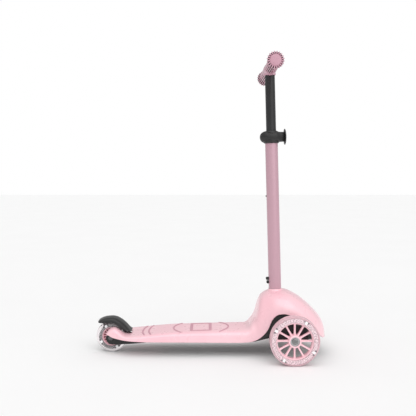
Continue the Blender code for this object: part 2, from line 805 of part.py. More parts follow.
def clamp_collar():
    """Ring on the top of the stem, with a rounded closed side behind and a screw boss ahead."""
    collar = turned(
        "clamp_collar",
        [
            (0, COLLAR_TOP),
            (0.0186, COLLAR_TOP),
            (0.0200, COLLAR_TOP - 0.002),
            (0.0200, COLLAR_BOTTOM + 0.002),
            (0.0186, COLLAR_BOTTOM),
            (0, COLLAR_BOTTOM),
        ],
        BLACK_PLASTIC,
        STEM_AXIS,
        steps=24,
        closed=False,
    )
    middle = (COLLAR_BOTTOM + COLLAR_TOP) / 2
    bm = bmesh.new()
    squeeze = Matrix.Translation((-0.0175, 0, middle)) @ Matrix.Diagonal((0.0118, 0.0125, 0.0150, 1))
    bmesh.ops.create_uvsphere(bm, u_segments=14, v_segments=8, radius=1.0, matrix=squeeze)
    join(collar, mesh_object("rear_bulge", bm, None, STEM_AXIS))
    join(collar, cylinder("front_boss", 0.0126, 0.018, (0.0225, 0, middle), (1, 0, 0), STEM_AXIS))
    depth = 0.060
    lip = STEM_TOP + 2 * GAP
    bore = (0, 0, lip - depth / 2)
    cut(collar, cylinder("collar_bore", STEM_R + GAP, depth, bore, (0, 0, 1), STEM_AXIS, 24))
    cut(collar, cylinder("mast_bore", MAST_R + GAP, 0.10, (0, 0, middle), (0, 0, 1), STEM_AXIS, 20))
    cut(collar, cylinder("stud_bore", 0.0030 + GAP, 0.030, (0.0315, 0, middle), (1, 0, 0), STEM_AXIS, 16))
    return collar


def clamp_knob():
    """Mushroom knob that turns on the stud and squeezes the collar."""
    profile = [
        (0, 0.0378),
        (0.0080, 0.0374),
        (0.0150, 0.0360),
        (0.0195, 0.0350),
        (0.0203, 0.0340),
        (0.0195, 0.0329),
        (0.0140, 0.0322),
        (0.0112, 0.0318),
        (0.0030 + GAP, 0.0318),
        (0.0030 + GAP, 0.0350),
        (0, 0.0350),
    ]
    turned("clamp_knob", profile, BLACK_PLASTIC, KNOB_AXIS, steps=20, closed=False)
    rod("clamp_stud", 0.0030, 0.0172, 0.0346, ZINC, KNOB_AXIS, steps=12)


def mast():
    tube("inner_tube", MAST_R, MAST_R - 0.0015, MAST_BOTTOM, MAST_TOP, BLACK_METAL, STEM_AXIS, steps=20)


def t_bar():
    """Handlebar body: a barrel on the cross tube with a short sleeve down over the mast."""
    ends = BAR_HALF - 0.0085
    profile = [(0, ends), (0.0107, ends), (0.0107, GRIP_START - GAP), (0.0150, GRIP_START - GAP)]
    profile += [(0.0156, 0.018), (0.0160, 0.0)]
    profile += [(radius, -height) for radius, height in reversed(profile[:-1])]
    bar = turned("t_bar", profile, PINK_GLOSS, BAR_AXIS, steps=20, closed=False)
    sleeve = cylinder("sleeve", 0.0150, 0.014, (0, 0, BAR_HEIGHT - 0.007), (0, 0, 1), STEM_AXIS, 20)
    join(bar, sleeve)
    socket_top = MAST_TOP + GAP
    depth = 0.04
    middle = (0, 0, socket_top - depth / 2)
    cut(bar, cylinder("mast_socket", MAST_R + GAP, depth, middle, (0, 0, 1), STEM_AXIS, 20))
    return bar


def grip(side, direction):
    """Ribbed soft grip with a raised flange, and the smooth cap in its end."""
    holder = axis_empty(f"grip_axis_{side}", (0, 0, BAR_HEIGHT), direction, STEM_AXIS)
    end = BAR_HALF
    seat = end - 0.0052
    profile = [
        (0.0146, end),
        (0.0200, end),
        (GRIP_FLANGE_R, end - 0.0012),
        (GRIP_FLANGE_R, end - 0.0058),
        (0.0190, end - 0.0080),
        (0.0158, end - 0.0105),
        (GRIP_R, end - 0.0140),
        (GRIP_R, GRIP_START + 0.0020),
        (0.0142, GRIP_START),
        (0.0110, GRIP_START),
        (0.0110, seat),
        (0.0146, seat),
    ]
    turned(f"grip_{side}", profile, PINK_GLOSS, holder, steps=20)
    cap = [(0, end - 0.0002), (0.0120, end - 0.0006), (0.0142, end - 0.0014), (0.0142, seat + GAP)]
    cap += [(0.0100, seat + GAP), (0.0100, seat - 0.0025), (0, seat - 0.0025)]
    turned(f"grip_cap_{side}", cap, DUSKY_CAP, holder, steps=16, closed=False)


# ------------------------------------------------------------------ build


clear_scene()
PARTS = new_collection("kick_scooter")
CUTTERS = new_collection("cutters")

PINK_GLOSS = make_material("pink_gloss_plastic", PINK, 0.28)
MAUVE_PAINT = make_material("mauve_painted_tube", MAUVE, 0.38, 0.1)
DUSKY_RUBBER = make_material("dusky_grip_rubber", DUSKY, 0.62)
DUSKY_CAP = make_material("dusky_cap_plastic", DUSKY, 0.40)
BLACK_PLASTIC = make_material("black_satin_plastic", BLACK, 0.45)
BLACK_METAL = make_material("black_coated_tube", BLACK, 0.35, 0.3)
DARK_RUBBER = make_material("dark_rubber", (0.03, 0.03, 0.03), 0.75)
CLEAR_RUBBER = make_material("clear_tyre", CLEAR, 0.12)
LAMP_WHITE = make_material("light_ring_white", WHITE, 0.35)
ZINC = make_material("zinc_plated_steel", STEEL, 0.35, 1.0)
SCREW_STEEL = make_material("dark_screw_steel", GREY, 0.40, 1.0)
BEARING_STEEL = make_material("bearing_steel", STEEL, 0.22, 1.0)
SPRING_STEEL = make_material("spring_steel", GREY, 0.30, 1.0)
ALUMINIUM = make_material("turned_aluminium", (0.62, 0.62, 0.63), 0.35, 1.0)

STEM_AXIS = axis_empty("stem_axis", (fwd(STEM_FOOT_X), 0, 0))
STEM_AXIS.rotation_quaternion = Matrix.Rotation(-STEM_LEAN, 3, "Y").to_quaternion()
CLAMP_HEIGHT = (COLLAR_BOTTOM + COLLAR_TOP) / 2
KNOB_AXIS = axis_empty("knob_axis", (0, 0, CLAMP_HEIGHT), (1, 0, 0), STEM_AXIS)
REAR_PIN_AXIS = axis_empty("rear_pin_axis", (0, 0, 0.402), (-1, 0, 0), STEM_AXIS)
BAR_AXIS = axis_empty("bar_axis", (0, 0, BAR_HEIGHT), (0, 1, 0), STEM_AXIS)
PIVOT_AXIS = axis_empty("pivot_axis", (fwd(PIVOT[0]), 0, PIVOT[1] * MM))
PIVOT_AXIS.rotation_quaternion = Matrix.Rotation(math.pi / 2 - PIVOT_RISE, 3, "Y").to_quaternion()
BEAM_AXIS = axis_empty("beam_axis", (REAR_AXLE_X + WHEELBASE, 0, FRONT_WHEEL["radius"]), (0, 1, 0))
BRAKE_AXIS = axis_empty("brake_axis", (fwd(BRAKE_HINGE[0]), 0, BRAKE_HINGE[1] * MM), (0, 1, 0))
REAR_HUB = axis_empty("rear_hub", (REAR_AXLE_X, 0, REAR_WHEEL["radius"]), (0, -1, 0))

deck_shell()
deck_grips()
chassis_tray()
rear_fork()
chassis_screws()
stem_socket()
truck_mount()
kingpin()
truck_bushes()
front_truck()
for side_name, side_sign in (("left", 1), ("right", -1)):
    hub_place = (REAR_AXLE_X + WHEELBASE, side_sign * FRONT_WHEEL_Y, FRONT_WHEEL["radius"])
    front_hub = axis_empty(f"front_hub_{side_name}", hub_place, (0, side_sign, 0))
    wheel(f"front_{side_name}", FRONT_WHEEL, front_hub)
    front_axle(f"front_axle_{side_name}", front_hub)
    grip(side_name, (0, side_sign, 0))
wheel("rear", REAR_WHEEL, REAR_HUB)
rear_axle()
brake()
brake_hinge()
stem_tube()
release_button()
height_stop_pin()
clamp_collar()
clamp_knob()
mast()
t_bar()
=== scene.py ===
"""Looks for the three-wheeled lean-to-steer kick scooter: surfaces, materials, light and camera.

Everything is in metres in the frame's own axes: +X forward, +Y to the rider's left, +Z up.
Tables of stations are in millimetres ahead of the rear axle and above the floor.
"""

import json
import math

import bmesh
import bpy
from mathutils import Matrix, Vector


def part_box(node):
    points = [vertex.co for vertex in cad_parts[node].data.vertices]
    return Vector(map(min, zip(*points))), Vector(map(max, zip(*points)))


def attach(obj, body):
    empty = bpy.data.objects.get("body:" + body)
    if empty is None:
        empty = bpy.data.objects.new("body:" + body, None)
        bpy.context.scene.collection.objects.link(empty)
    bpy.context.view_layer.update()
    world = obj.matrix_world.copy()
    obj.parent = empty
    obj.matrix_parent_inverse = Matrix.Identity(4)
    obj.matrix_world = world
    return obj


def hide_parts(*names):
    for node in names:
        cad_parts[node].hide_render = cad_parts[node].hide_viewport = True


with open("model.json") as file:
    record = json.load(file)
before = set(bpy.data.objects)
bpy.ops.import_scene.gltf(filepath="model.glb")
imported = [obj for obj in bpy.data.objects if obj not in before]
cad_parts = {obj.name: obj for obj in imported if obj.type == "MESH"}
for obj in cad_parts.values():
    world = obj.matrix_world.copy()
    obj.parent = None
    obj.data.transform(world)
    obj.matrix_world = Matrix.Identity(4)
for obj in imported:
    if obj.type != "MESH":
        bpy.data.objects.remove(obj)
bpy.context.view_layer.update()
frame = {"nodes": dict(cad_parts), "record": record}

MM = 0.001
REAR = "rear"
EVEN = (1, 1, 1)


# ------------------------------------------------------------------ places, read from the frame


def centre(node):
    low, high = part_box(node)
    return Vector([(a + b) / 2 for a, b in zip(low, high)])


def joint(name):
    return next(j for j in frame["record"]["behaviour"]["joints"] if j["name"] == name)


REAR_AXLE = centre("rear_wheel_core")
WHEEL_LEFT = centre("front_left_wheel_core")
WHEEL_RIGHT = centre("front_right_wheel_core")
STEM_UP = Vector(joint("height_adjust")["axis"]).normalized()
STEM_AHEAD = Vector(joint("clamp_turn")["axis"]).normalized()
ACROSS = Vector((0, 1, 0))
CLAMP = Vector(joint("clamp_turn")["pos_m"])
BAR = centre("grip_left")
BAR.y = 0


def fwd(station):
    return REAR_AXLE.x + station * MM


def on_stem(height, ahead=0.0, across=0.0):
    """Point at a height above the floor on the stem's axis, moved ahead and to the left."""
    base = CLAMP + STEM_UP * ((height - CLAMP.z) / STEM_UP.z)
    return base + STEM_AHEAD * ahead + ACROSS * across


# ------------------------------------------------------------------ materials


class Shader:
    """A Principled material with object-space noise for colour, roughness and bump."""

    def __init__(self, name, colour, roughness, metallic=0.0):
        self.material = bpy.data.materials.new(name)
        self.material.use_nodes = True
        self.tree = self.material.node_tree
        self.bsdf = self.tree.nodes["Principled BSDF"]
        self.bsdf.inputs["Base Color"].default_value = (*colour, 1)
        self.bsdf.inputs["Roughness"].default_value = roughness
        self.bsdf.inputs["Metallic"].default_value = metallic
        self.colour = colour
        self.roughness = roughness
        self.coords = self.tree.nodes.new("ShaderNodeTexCoord").outputs["Object"]
        self.material.diffuse_color = (*colour, 1)

    def set(self, **values):
        """Sets the shader's own sockets by name, with underscores for spaces."""
        for name, value in values.items():
            self.bsdf.inputs[name.replace("_", " ")].default_value = value
        return self

    def noise(self, scale, detail=3.0, stretch=EVEN):
        """Object-space noise of a scale per metre."""
        mapping = self.tree.nodes.new("ShaderNodeMapping")
        mapping.inputs["Scale"].default_value = stretch
        self.tree.links.new(self.coords, mapping.inputs["Vector"])
        node = self.tree.nodes.new("ShaderNodeTexNoise")
        node.inputs["Scale"].default_value = scale
        node.inputs["Detail"].default_value = detail
        self.tree.links.new(mapping.outputs["Vector"], node.inputs["Vector"])
        return node.outputs["Fac"]

    def ramp(self, source, low, high, start=0.35, end=0.65):
        """Spreads the source's start to end over low to high."""
        node = self.tree.nodes.new("ShaderNodeMapRange")
        node.inputs["From Min"].default_value = start
        node.inputs["From Max"].default_value = end
        node.inputs["To Min"].default_value = low
        node.inputs["To Max"].default_value = high
        self.tree.links.new(source, node.inputs["Value"])
        return node.outputs["Result"]

    def tint(self, scale, other, detail=2.0, start=0.35, end=0.65):
        """Mottles the base colour towards other."""
        share = self.ramp(self.noise(scale, detail), 0, 1, start, end)
        mix = self.tree.nodes.new("ShaderNodeMix")
        mix.data_type = "RGBA"
        mix.inputs["A"].default_value = (*self.colour, 1)
        mix.inputs["B"].default_value = (*other, 1)
        self.tree.links.new(share, mix.inputs["Factor"])
        self.tree.links.new(mix.outputs["Result"], self.bsdf.inputs["Base Color"])
        return self

    def rough(self, scale, spread, stretch=EVEN):
        """Varies the roughness by spread either way."""
        low, high = self.roughness - spread, self.roughness + spread
        value = self.ramp(self.noise(scale, 4.0, stretch), low, high)
        self.tree.links.new(value, self.bsdf.inputs["Roughness"])
        return self

    def bump(self, *layers):
        """Adds bump layers of (scale, depth in metres, stretch)."""
        previous = None
        for scale, depth, stretch in layers:
            node = self.tree.nodes.new("ShaderNodeBump")
            node.inputs["Strength"].default_value = 1.0
            node.inputs["Distance"].default_value = depth
            self.tree.links.new(self.noise(scale, 3.0, stretch), node.inputs["Height"])
            if previous is not None:
                self.tree.links.new(previous, node.inputs["Normal"])
            previous = node.outputs["Normal"]
        self.tree.links.new(previous, self.bsdf.inputs["Normal"])
        return self


PINK = (0.98, 0.575, 0.645)
PALE_PINK = (1.0, 0.64, 0.70)
MAUVE = (0.560, 0.335, 0.400)


def gloss_pink(name, colour=PINK, other=PALE_PINK, roughness=0.30):
    shader = Shader(name, colour, roughness).tint(9, other).rough(60, 0.04)
    shader.bump((110, 0.00003, EVEN), (2600, 0.000005, EVEN))
    return shader.set(Coat_Weight=0.6, Coat_Roughness=0.16, IOR=1.5).material


def mauve_paint():
    shader = Shader("mauve_paint", MAUVE, 0.36, 0.15).tint(1400, (0.59, 0.357, 0.425))
    shader.rough(45, 0.05, (1, 1, 0.12))
    shader.bump((700, 0.000018, EVEN), (25, 0.00006, (1, 1, 0.2)))
    return shader.set(Coat_Weight=0.3, Coat_Roughness=0.22).material


def black_plastic(name, grain=2200, roughness=0.46, lift=0.0105):
    shader = Shader(name, (lift, lift, lift * 1.03), roughness)
    shader.tint(30, (lift * 1.5, lift * 1.5, lift * 1.55)).rough(300, 0.06)
    return shader.bump((grain, 0.000030, EVEN), (120, 0.00005, EVEN)).material


def black_tube():
    shader = Shader("black_tube", (0.022, 0.022, 0.023), 0.36, 0.2)
    shader.tint(20, (0.030, 0.030, 0.031)).rough(30, 0.06, (1, 1, 0.05))
    return shader.bump((1200, 0.000012, EVEN), (90, 0.00002, (6, 6, 0.2))).material


def rubber(name, colour, other):
    shader = Shader(name, colour, 0.62).tint(120, other).rough(500, 0.07)
    return shader.bump((1800, 0.00005, EVEN)).material


def steel(name, colour, roughness):
    """Metal with a fine brushed grain across the scooter."""
    grain = (1, 18, 1)
    shader = Shader(name, colour, roughness, 1.0).tint(300, [c * 0.82 for c in colour])
    return shader.rough(400, 0.07, grain).bump((900, 0.00001, grain)).material


def clear_urethane():
    shader = Shader("clear_urethane", (0.985, 0.93, 0.945), 0.09)
    shader.rough(40, 0.03).bump((60, 0.0001, EVEN))
    return shader.set(Transmission_Weight=0.96, IOR=1.34).material


def lamp_white():
    shader = Shader("lamp_white", (0.90, 0.90, 0.91), 0.25).tint(500, (0.80, 0.80, 0.82))
    shader.rough(300, 0.05).bump((900, 0.00002, EVEN))
    return shader.set(Emission_Color=(1, 1, 1, 1), Emission_Strength=0.12).material


def milky_urethane():
    """Pink-tinted cast urethane, half clear."""
    shader = Shader("milky_urethane", (0.95, 0.62, 0.69), 0.22).tint(35, (0.98, 0.70, 0.76))
    shader.rough(60, 0.04).bump((90, 0.00008, EVEN), (1500, 0.000006, EVEN))
    return shader.set(Transmission_Weight=0.35, IOR=1.36, Coat_Weight=0.3, Coat_Roughness=0.12).material


def coil_metal(name, colour, other):
    shader = Shader(name, colour, 0.30, 0.35).tint(520, other, 4.0, 0.42, 0.62).rough(300, 0.08)
    return shader.bump((420, 0.00015, EVEN)).material


MATERIALS = {
    "pink": gloss_pink("pink_gloss"),
    "wheel_pink": gloss_pink("wheel_pink", (0.96, 0.60, 0.66), (1.0, 0.66, 0.72), 0.27),
    "grip_pink": gloss_pink("grip_pink", (0.58, 0.305, 0.385), (0.62, 0.34, 0.42), 0.45),
    "cap_mauve": gloss_pink("cap_mauve", (0.58, 0.305, 0.385), (0.61, 0.33, 0.41), 0.42),
    "inlay": rubber("inlay_rubber", (0.66, 0.36, 0.43), (0.60, 0.32, 0.39)),
    "mauve": mauve_paint(),
    "black": black_plastic("black_plastic"),
    "fender": black_plastic("fender_plastic", 1500, 0.38, 0.013),
    "liner": black_plastic("liner_plastic", 1700, 0.55, 0.012),
    "tube": black_tube(),
    # near-black grip core: its colour is painted shade for the deep grooves between the grip's fins
    "dark_rubber": rubber("dark_rubber", (0.020, 0.018, 0.019), (0.032, 0.030, 0.031)),
    "clear": clear_urethane(),
    "milky": milky_urethane(),
    "coil_grey": coil_metal("coil_grey", (0.42, 0.40, 0.41), (0.10, 0.09, 0.095)),
    "socket": black_plastic("socket_plastic", 1200, 0.5, 0.10),
    "deep_red": gloss_pink("deep_red", (0.20, 0.030, 0.055), (0.26, 0.045, 0.075), 0.4),
    "lamp": lamp_white(),
    "silver": coil_metal("coil_silver", (0.97, 0.78, 0.82), (0.56, 0.40, 0.44)),
    "zinc": steel("zinc_steel", (0.30, 0.30, 0.30), 0.34),
    "dark_steel": steel("dark_steel", (0.15, 0.15, 0.155), 0.36),
    "bearing": steel("bearing_steel", (0.55, 0.55, 0.56), 0.20),
    "aluminium": steel("aluminium", (0.62, 0.62, 0.63), 0.34),
}

SLOT_MATERIALS = {
    "pink_plastic": "pink",
    "mauve_paint": "mauve",
    "grip_inlay": "inlay",
    "cap_plastic": "cap_mauve",
    "black_plastic": "liner",
    "black_tube": "tube",
    "dark_rubber": "dark_rubber",
    "clear_tyre": "clear",
    "light_ring": "silver",
    "zinc_steel": "zinc",
    "dark_steel": "dark_steel",
    "bearing_steel": "bearing",
    "aluminium": "aluminium",
}


def dress_nodes():
    """Gives every carried-over solid the finish of its slot."""
    for part in frame["record"]["subparts"]:
        obj = frame["nodes"][part["node"]]
        obj.data.materials.clear()
        obj.data.materials.append(MATERIALS[SLOT_MATERIALS[part["material_slot"]]])


# ------------------------------------------------------------------ mesh helpers


def smooth_rail(rail, x):
    """Value at x of the monotone cubic through the rail's (x, value) points."""
    if x <= rail[0][0]:
        return rail[0][1]
    if x >= rail[-1][0]:
        return rail[-1][1]
    grades = [(b[1] - a[1]) / (b[0] - a[0]) for a, b in zip(rail, rail[1:])]
    slopes = [grades[0]]
    for left, right in zip(grades, grades[1:]):
        slopes.append(0.0 if left * right <= 0 else 2 * left * right / (left + right))
    slopes.append(grades[-1])
    i = max(k for k in range(len(rail) - 1) if rail[k][0] <= x)
    (x0, v0), (x1, v1) = rail[i], rail[i + 1]
    h = x1 - x0
    t = (x - x0) / h
    start = v0 * (1 + 2 * t) * (1 - t) ** 2 + slopes[i] * h * t * (1 - t) ** 2
    return start + v1 * t * t * (3 - 2 * t) + slopes[i + 1] * h * t * t * (t - 1)


def frame_at(origin, up):
    """Matrix whose local +Z points along up and whose origin is at origin."""
    return Matrix.Translation(origin) @ Vector(up).to_track_quat("Z", "Y").to_matrix().to_4x4()


def rounded(corners, radius, closed=True, segments=3):
    """Fillets a polyline's corners; a corner may carry its own radius as a third number."""
    count = len(corners)
    path = []
    for i, corner in enumerate(corners):
        here = Vector(corner[:2])
        limit = corner[2] if len(corner) > 2 else radius
        ends = not closed and i in (0, count - 1)
        if ends or limit <= 0:
            path.append(tuple(here))
            continue
        before = Vector(corners[i - 1][:2]) - here
        after = Vector(corners[(i + 1) % count][:2]) - here
        reach = min(limit, before.length * 0.48, after.length * 0.48)
        start = here + before.normalized() * reach
        end = here + after.normalized() * reach
        for k in range(segments + 1):
            t = k / segments
            path.append(tuple(start * (1 - t) ** 2 + here * 2 * t * (1 - t) + end * t * t))
    return path


def lathe(bm, profile, matrix, steps=64, closed=True, squash=None):
    """Turns (radius, height) points about the matrix's Z axis; squash(point) may reshape each."""
    rings = []
    for radius, height in profile:
        if radius < 1e-7:
            rings.append([bm.verts.new(matrix @ Vector((0, 0, height)))])
            continue
        ring = []
        for k in range(steps):
            angle = math.tau * k / steps
            point = Vector((radius * math.cos(angle), radius * math.sin(angle), height))
            ring.append(bm.verts.new(matrix @ (squash(point) if squash else point)))
        rings.append(ring)
    pairs = list(zip(rings, rings[1:]))
    if closed:
        pairs.append((rings[-1], rings[0]))
    for a, b in pairs:
        for k in range(steps):
            n = (k + 1) % steps
            corners = [a[k % len(a)], b[k % len(b)], b[n % len(b)], a[n % len(a)]]
            unique = list(dict.fromkeys(corners))
            if len(unique) > 2:
                bm.faces.new(unique)
    return bm


def sweep_rows(bm, rows, cap=True):
    """A closed tube of faces through rows that are closed loops."""
    grid = [[bm.verts.new(point) for point in row] for row in rows]
    for row, ahead in zip(grid, grid[1:]):
        count = len(row)
        for i in range(count):
            j = (i + 1) % count
            bm.faces.new((row[i], row[j], ahead[j], ahead[i]))
    if cap:
        bm.faces.new(grid[0][::-1])
        bm.faces.new(grid[-1])
    return bm


def prism(bm, outline, depth, matrix, inset=0.0):
    """A flat outline in local XY, thickened about z = 0, with a chamfer of inset on both faces."""
    middle = Vector((sum(p[0] for p in outline), sum(p[1] for p in outline), 0)) / len(outline)
    half = depth / 2
    rows = []
    for z, shrink in ((-half, inset), (-half + inset, 0), (half - inset, 0), (half, inset)):
        row = []
        for x, y in outline:
            away = Vector((x, y, 0)) - middle
            scale = 1 - shrink / max(away.length, 1e-6)
            row.append(matrix @ (middle + away * scale + Vector((0, 0, z))))
        rows.append(row)
    return sweep_rows(bm, rows)


def arch_strip(bm, rows):
    """Faces between open rows of points, as a sheet with no thickness yet; returns its vertices."""
    grid = [[bm.verts.new(point) for point in row] for row in rows]
    for row, ahead in zip(grid, grid[1:]):
        for i in range(len(row) - 1):
            bm.faces.new((row[i], row[i + 1], ahead[i + 1], ahead[i]))
    return grid


def drill(radius, start, end, matrix, steps=64):
    """A closed cylinder between two heights on the matrix's Z axis."""
    profile = [(0, start), (radius, start), (radius, end), (0, end)]
    return lathe(bmesh.new(), profile, matrix, steps, False)


def block(low, high, matrix=None):
    """A closed box between two corners, turned by the matrix if one is given."""
    bm = bmesh.new()
    size = Vector(high) - Vector(low)
    place = Matrix.Translation((Vector(low) + Vector(high)) / 2) @ Matrix.Diagonal((*size, 1))
    bmesh.ops.create_cube(bm, size=1.0, matrix=place)
    if matrix:
        bmesh.ops.transform(bm, matrix=matrix, verts=bm.verts)
    return bm


def signed_power(value, power):
    """The power of a value's size, with the value's sign."""
    return math.copysign(abs(value) ** power, value)


# ------------------------------------------------------------------ pieces


def put(name, data):
    """A new object in the scene."""
    obj = bpy.data.objects.new(name, data)
    bpy.context.scene.collection.objects.link(obj)
    return obj


def to_object(name, bm, material=None):
    """A new object made from a bmesh, which is freed."""
    mesh = bpy.data.meshes.new(name)
    bm.to_mesh(mesh)
    bm.free()
    if material:
        mesh.materials.append(material)
    return put(name, mesh)


CRISP = 35


def smooth(mesh, sharp=CRISP):
    """Smooth shading, with edges sharper than an angle in degrees kept crisp."""
    mesh.shade_smooth()
    mesh.set_sharp_from_angle(angle=math.radians(sharp))


def add_piece(name, bm, material, body, nodes=(), sharp=CRISP):
    """Turns a bmesh into a riding, smooth-shaded piece that stands for the CAD nodes named."""
    bmesh.ops.recalc_face_normals(bm, faces=bm.faces)
    obj = to_object(name, bm, MATERIALS[material])
    smooth(obj.data, sharp)
    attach(obj, body)
    if nodes:
        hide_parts(*nodes)
    return obj


def thicken(obj, wall):
    """Gives a sheet a wall that grows inwards."""
    solid = obj.modifiers.new("Wall", "SOLIDIFY")
    solid.thickness = wall
    solid.offset = -1


def soften(obj, width, segments, angle):
    """Bevels the edges sharper than an angle in degrees."""
    edges = obj.modifiers.new("Edges", "BEVEL")
    edges.width = width
    edges.segments = segments
    edges.angle_limit = math.radians(angle)


def bake_modifiers(obj):
    """Replaces an object's mesh with its evaluated one and drops its modifiers."""
    evaluated = obj.evaluated_get(bpy.context.evaluated_depsgraph_get())
    mesh = bpy.data.meshes.new_from_object(evaluated)
    obj.modifiers.clear()
    obj.data = mesh
    smooth(mesh)


def carve(obj, *cutters):
    """Subtracts closed bmeshes from an object and bakes the result."""
    tools = []
    for index, bm in enumerate(cutters):
        bmesh.ops.recalc_face_normals(bm, faces=bm.faces)
        tool = to_object(f"cutter_{index}", bm)
        tools.append(tool)
        step = obj.modifiers.new("Cut", "BOOLEAN")
        step.operation = "DIFFERENCE"
        step.object = tool
    bake_modifiers(obj)
    for tool in tools:
        bpy.data.objects.remove(tool)


# ------------------------------------------------------------------ deck moulding

HALF_WIDTH = (
    (-11, 27), (0, 33), (16, 40), (35, 50), (60, 56), (90, 57.5), (330, 57.5), (365, 60),
    (400, 70), (440, 81), (475, 84), (503, 79), (521, 69), (534, 55), (541, 41), (546, 21),
)
RIDGE = (
    (-11, 52), (-6, 60), (1, 65.5), (8, 67), (16, 64.5), (25, 58), (36, 51), (48, 50),
    (80, 52.5), (102, 54.8), (127, 57.4), (160, 60), (227, 62.4), (300, 64.2), (342, 65.6),
    (352, 71.5), (358, 81), (365, 92), (370, 104), (374, 120), (380, 139), (388, 150),
    (403, 158), (430, 161), (447, 159.5), (473, 148.5), (499, 130.5), (525, 105), (538, 87),
    (544, 71), (546, 60),
)
LOWER_EDGE = (
    (-11, 50), (-5, 48.5), (8, 43.5), (35, 41), (60, 39.8), (103, 38.6), (230, 38), (330, 37.4),
    (354, 39.5), (366, 43.5), (378, 51), (389, 62.5), (397, 75), (402, 88), (407, 99),
    (414, 107.5), (423, 113), (436, 115), (450, 112.5), (466, 106), (482, 96.5), (497, 86),
    (512, 73), (526, 59), (536, 49.5), (546, 47),
)
FULLNESS = (
    (-11, 3.0), (30, 4.0), (60, 6.0), (330, 6.0), (352, 4.0), (372, 2.5), (430, 2.3), (546, 2.3),
)
# start, end and spacing of the sections
STATION_STEPS = (
    (-11, 50, 3.2), (50, 340, 10), (340, 400, 2.4), (400, 526, 5), (526, 546, 1.8),
)
SHELL_WALL = 0.0026
BEAD_RADIUS = 0.00135
# share of the half width, and height in metres
RIBBON_CROWN = (
    (-1, 0.0), (-0.92, 0.00055), (-0.6, 0.0008), (0, 0.0009),
    (0.6, 0.0008), (0.92, 0.00055), (1, 0.0),
)
RIBBON_GAP = 0.0003
# station, how far the ends lie ahead, half length in metres, and width
GRIP_LINES = {
    "bow_1": (80, 9, 0.046, 4.0),
    "bow_2": (96, 9, 0.046, 4.0),
    "bracket_rear": (159.5, 22, 0.047, 3.6),
    "bracket_front": (301, -25, 0.047, 3.6),
}
GRIP_FRAME = ((206, 0.0362), (254, 0.0362), (254, -0.0342), (206, -0.0342))


def deck_place(x):
    """Half width, lower edge, rise and fullness of the moulding at a station."""
    edge = smooth_rail(LOWER_EDGE, x) * MM
    rise = smooth_rail(RIDGE, x) * MM - edge
    return smooth_rail(HALF_WIDTH, x) * MM, edge, rise, smooth_rail(FULLNESS, x)


def deck_section(x, count=45):
    """Superellipse arch, with its points spread evenly enough to round the shoulders well."""
    half, edge, rise, fullness = deck_place(x)
    power = 2 / fullness
    row = []
    for i in range(count):
        turn = math.pi * i / (count - 1)
        angle = turn + 0.12 * math.sin(4 * turn)
        y = signed_power(math.cos(angle), power) * half
        row.append(Vector((fwd(x), y, edge + rise * max(math.sin(angle), 0) ** power)))
    row[0] = Vector((fwd(x), half, edge))
    row[-1] = Vector((fwd(x), -half, edge))
    return row


def deck_height(x, y):
    """Height of the moulding's outer surface at a station and y."""
    half, edge, rise, fullness = deck_place(x)
    return edge + rise * (1 - (abs(y) / half) ** fullness) ** (1 / fullness)


def deck_stations():
    """Stations along the moulding, closer together where it turns."""
    places = []
    for start, end, step in STATION_STEPS:
        count = round((end - start) / step)
        places += [start + (end - start) * i / count for i in range(count)]
    return places + [STATION_STEPS[-1][1]]


def deck_moulding():
    """Thin shell with the stem's hole in the nose and the rear wheel's slot in the tail."""
    bm = bmesh.new()
    grid = arch_strip(bm, [deck_section(x) for x in deck_stations()])
    bm.faces.new(grid[0][::-1])
    bm.faces.new(grid[-1])
    deck = to_object("deck_moulding", bm, MATERIALS["pink"])
    thicken(deck, SHELL_WALL)
    stem_hole = drill(0.0166, 0.20, 0.13, stem_frame())
    wheel_slot = block((fwd(-60), -0.0133, 0.0), (fwd(52), 0.0133, 0.12))
    carve(deck, stem_hole, wheel_slot)
    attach(deck, "deck")
    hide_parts("deck_shell")


def stem_frame():
    """Matrix along the stem's axis, with z = 0 at the floor."""
    turn = Matrix((STEM_AHEAD, ACROSS, STEM_UP)).transposed().to_4x4()
    return Matrix.Translation(on_stem(0.0)) @ turn


def edge_bead():
    """Rolled lip along the moulding's lower edge, from one tail arm round the nose to the other."""
    places = [x for x in deck_stations() if x > -8]
    left = []
    for x in places:
        half = (smooth_rail(HALF_WIDTH, x) - 1.3) * MM
        left.append(Vector((fwd(x), half, smooth_rail(LOWER_EDGE, x) * MM + 0.0004)))
    left[-1].x -= 0.0016
    route = left + [Vector((p.x, -p.y, p.z)) for p in reversed(left)]
    bm = bmesh.new()
    rows = []
    for i, point in enumerate(route):
        ahead = route[min(i + 1, len(route) - 1)] - route[max(i - 1, 0)]
        turn = ahead.to_track_quat("Z", "Y")
        row = []
        for k in range(10):
            angle = math.tau * k / 10
            spoke = Vector((BEAD_RADIUS * math.cos(angle), BEAD_RADIUS * math.sin(angle), 0))
            row.append(point + turn @ spoke)
        rows.append(row)
    sweep_rows(bm, rows)
    add_piece("deck_edge_bead", bm, "pink", "deck")


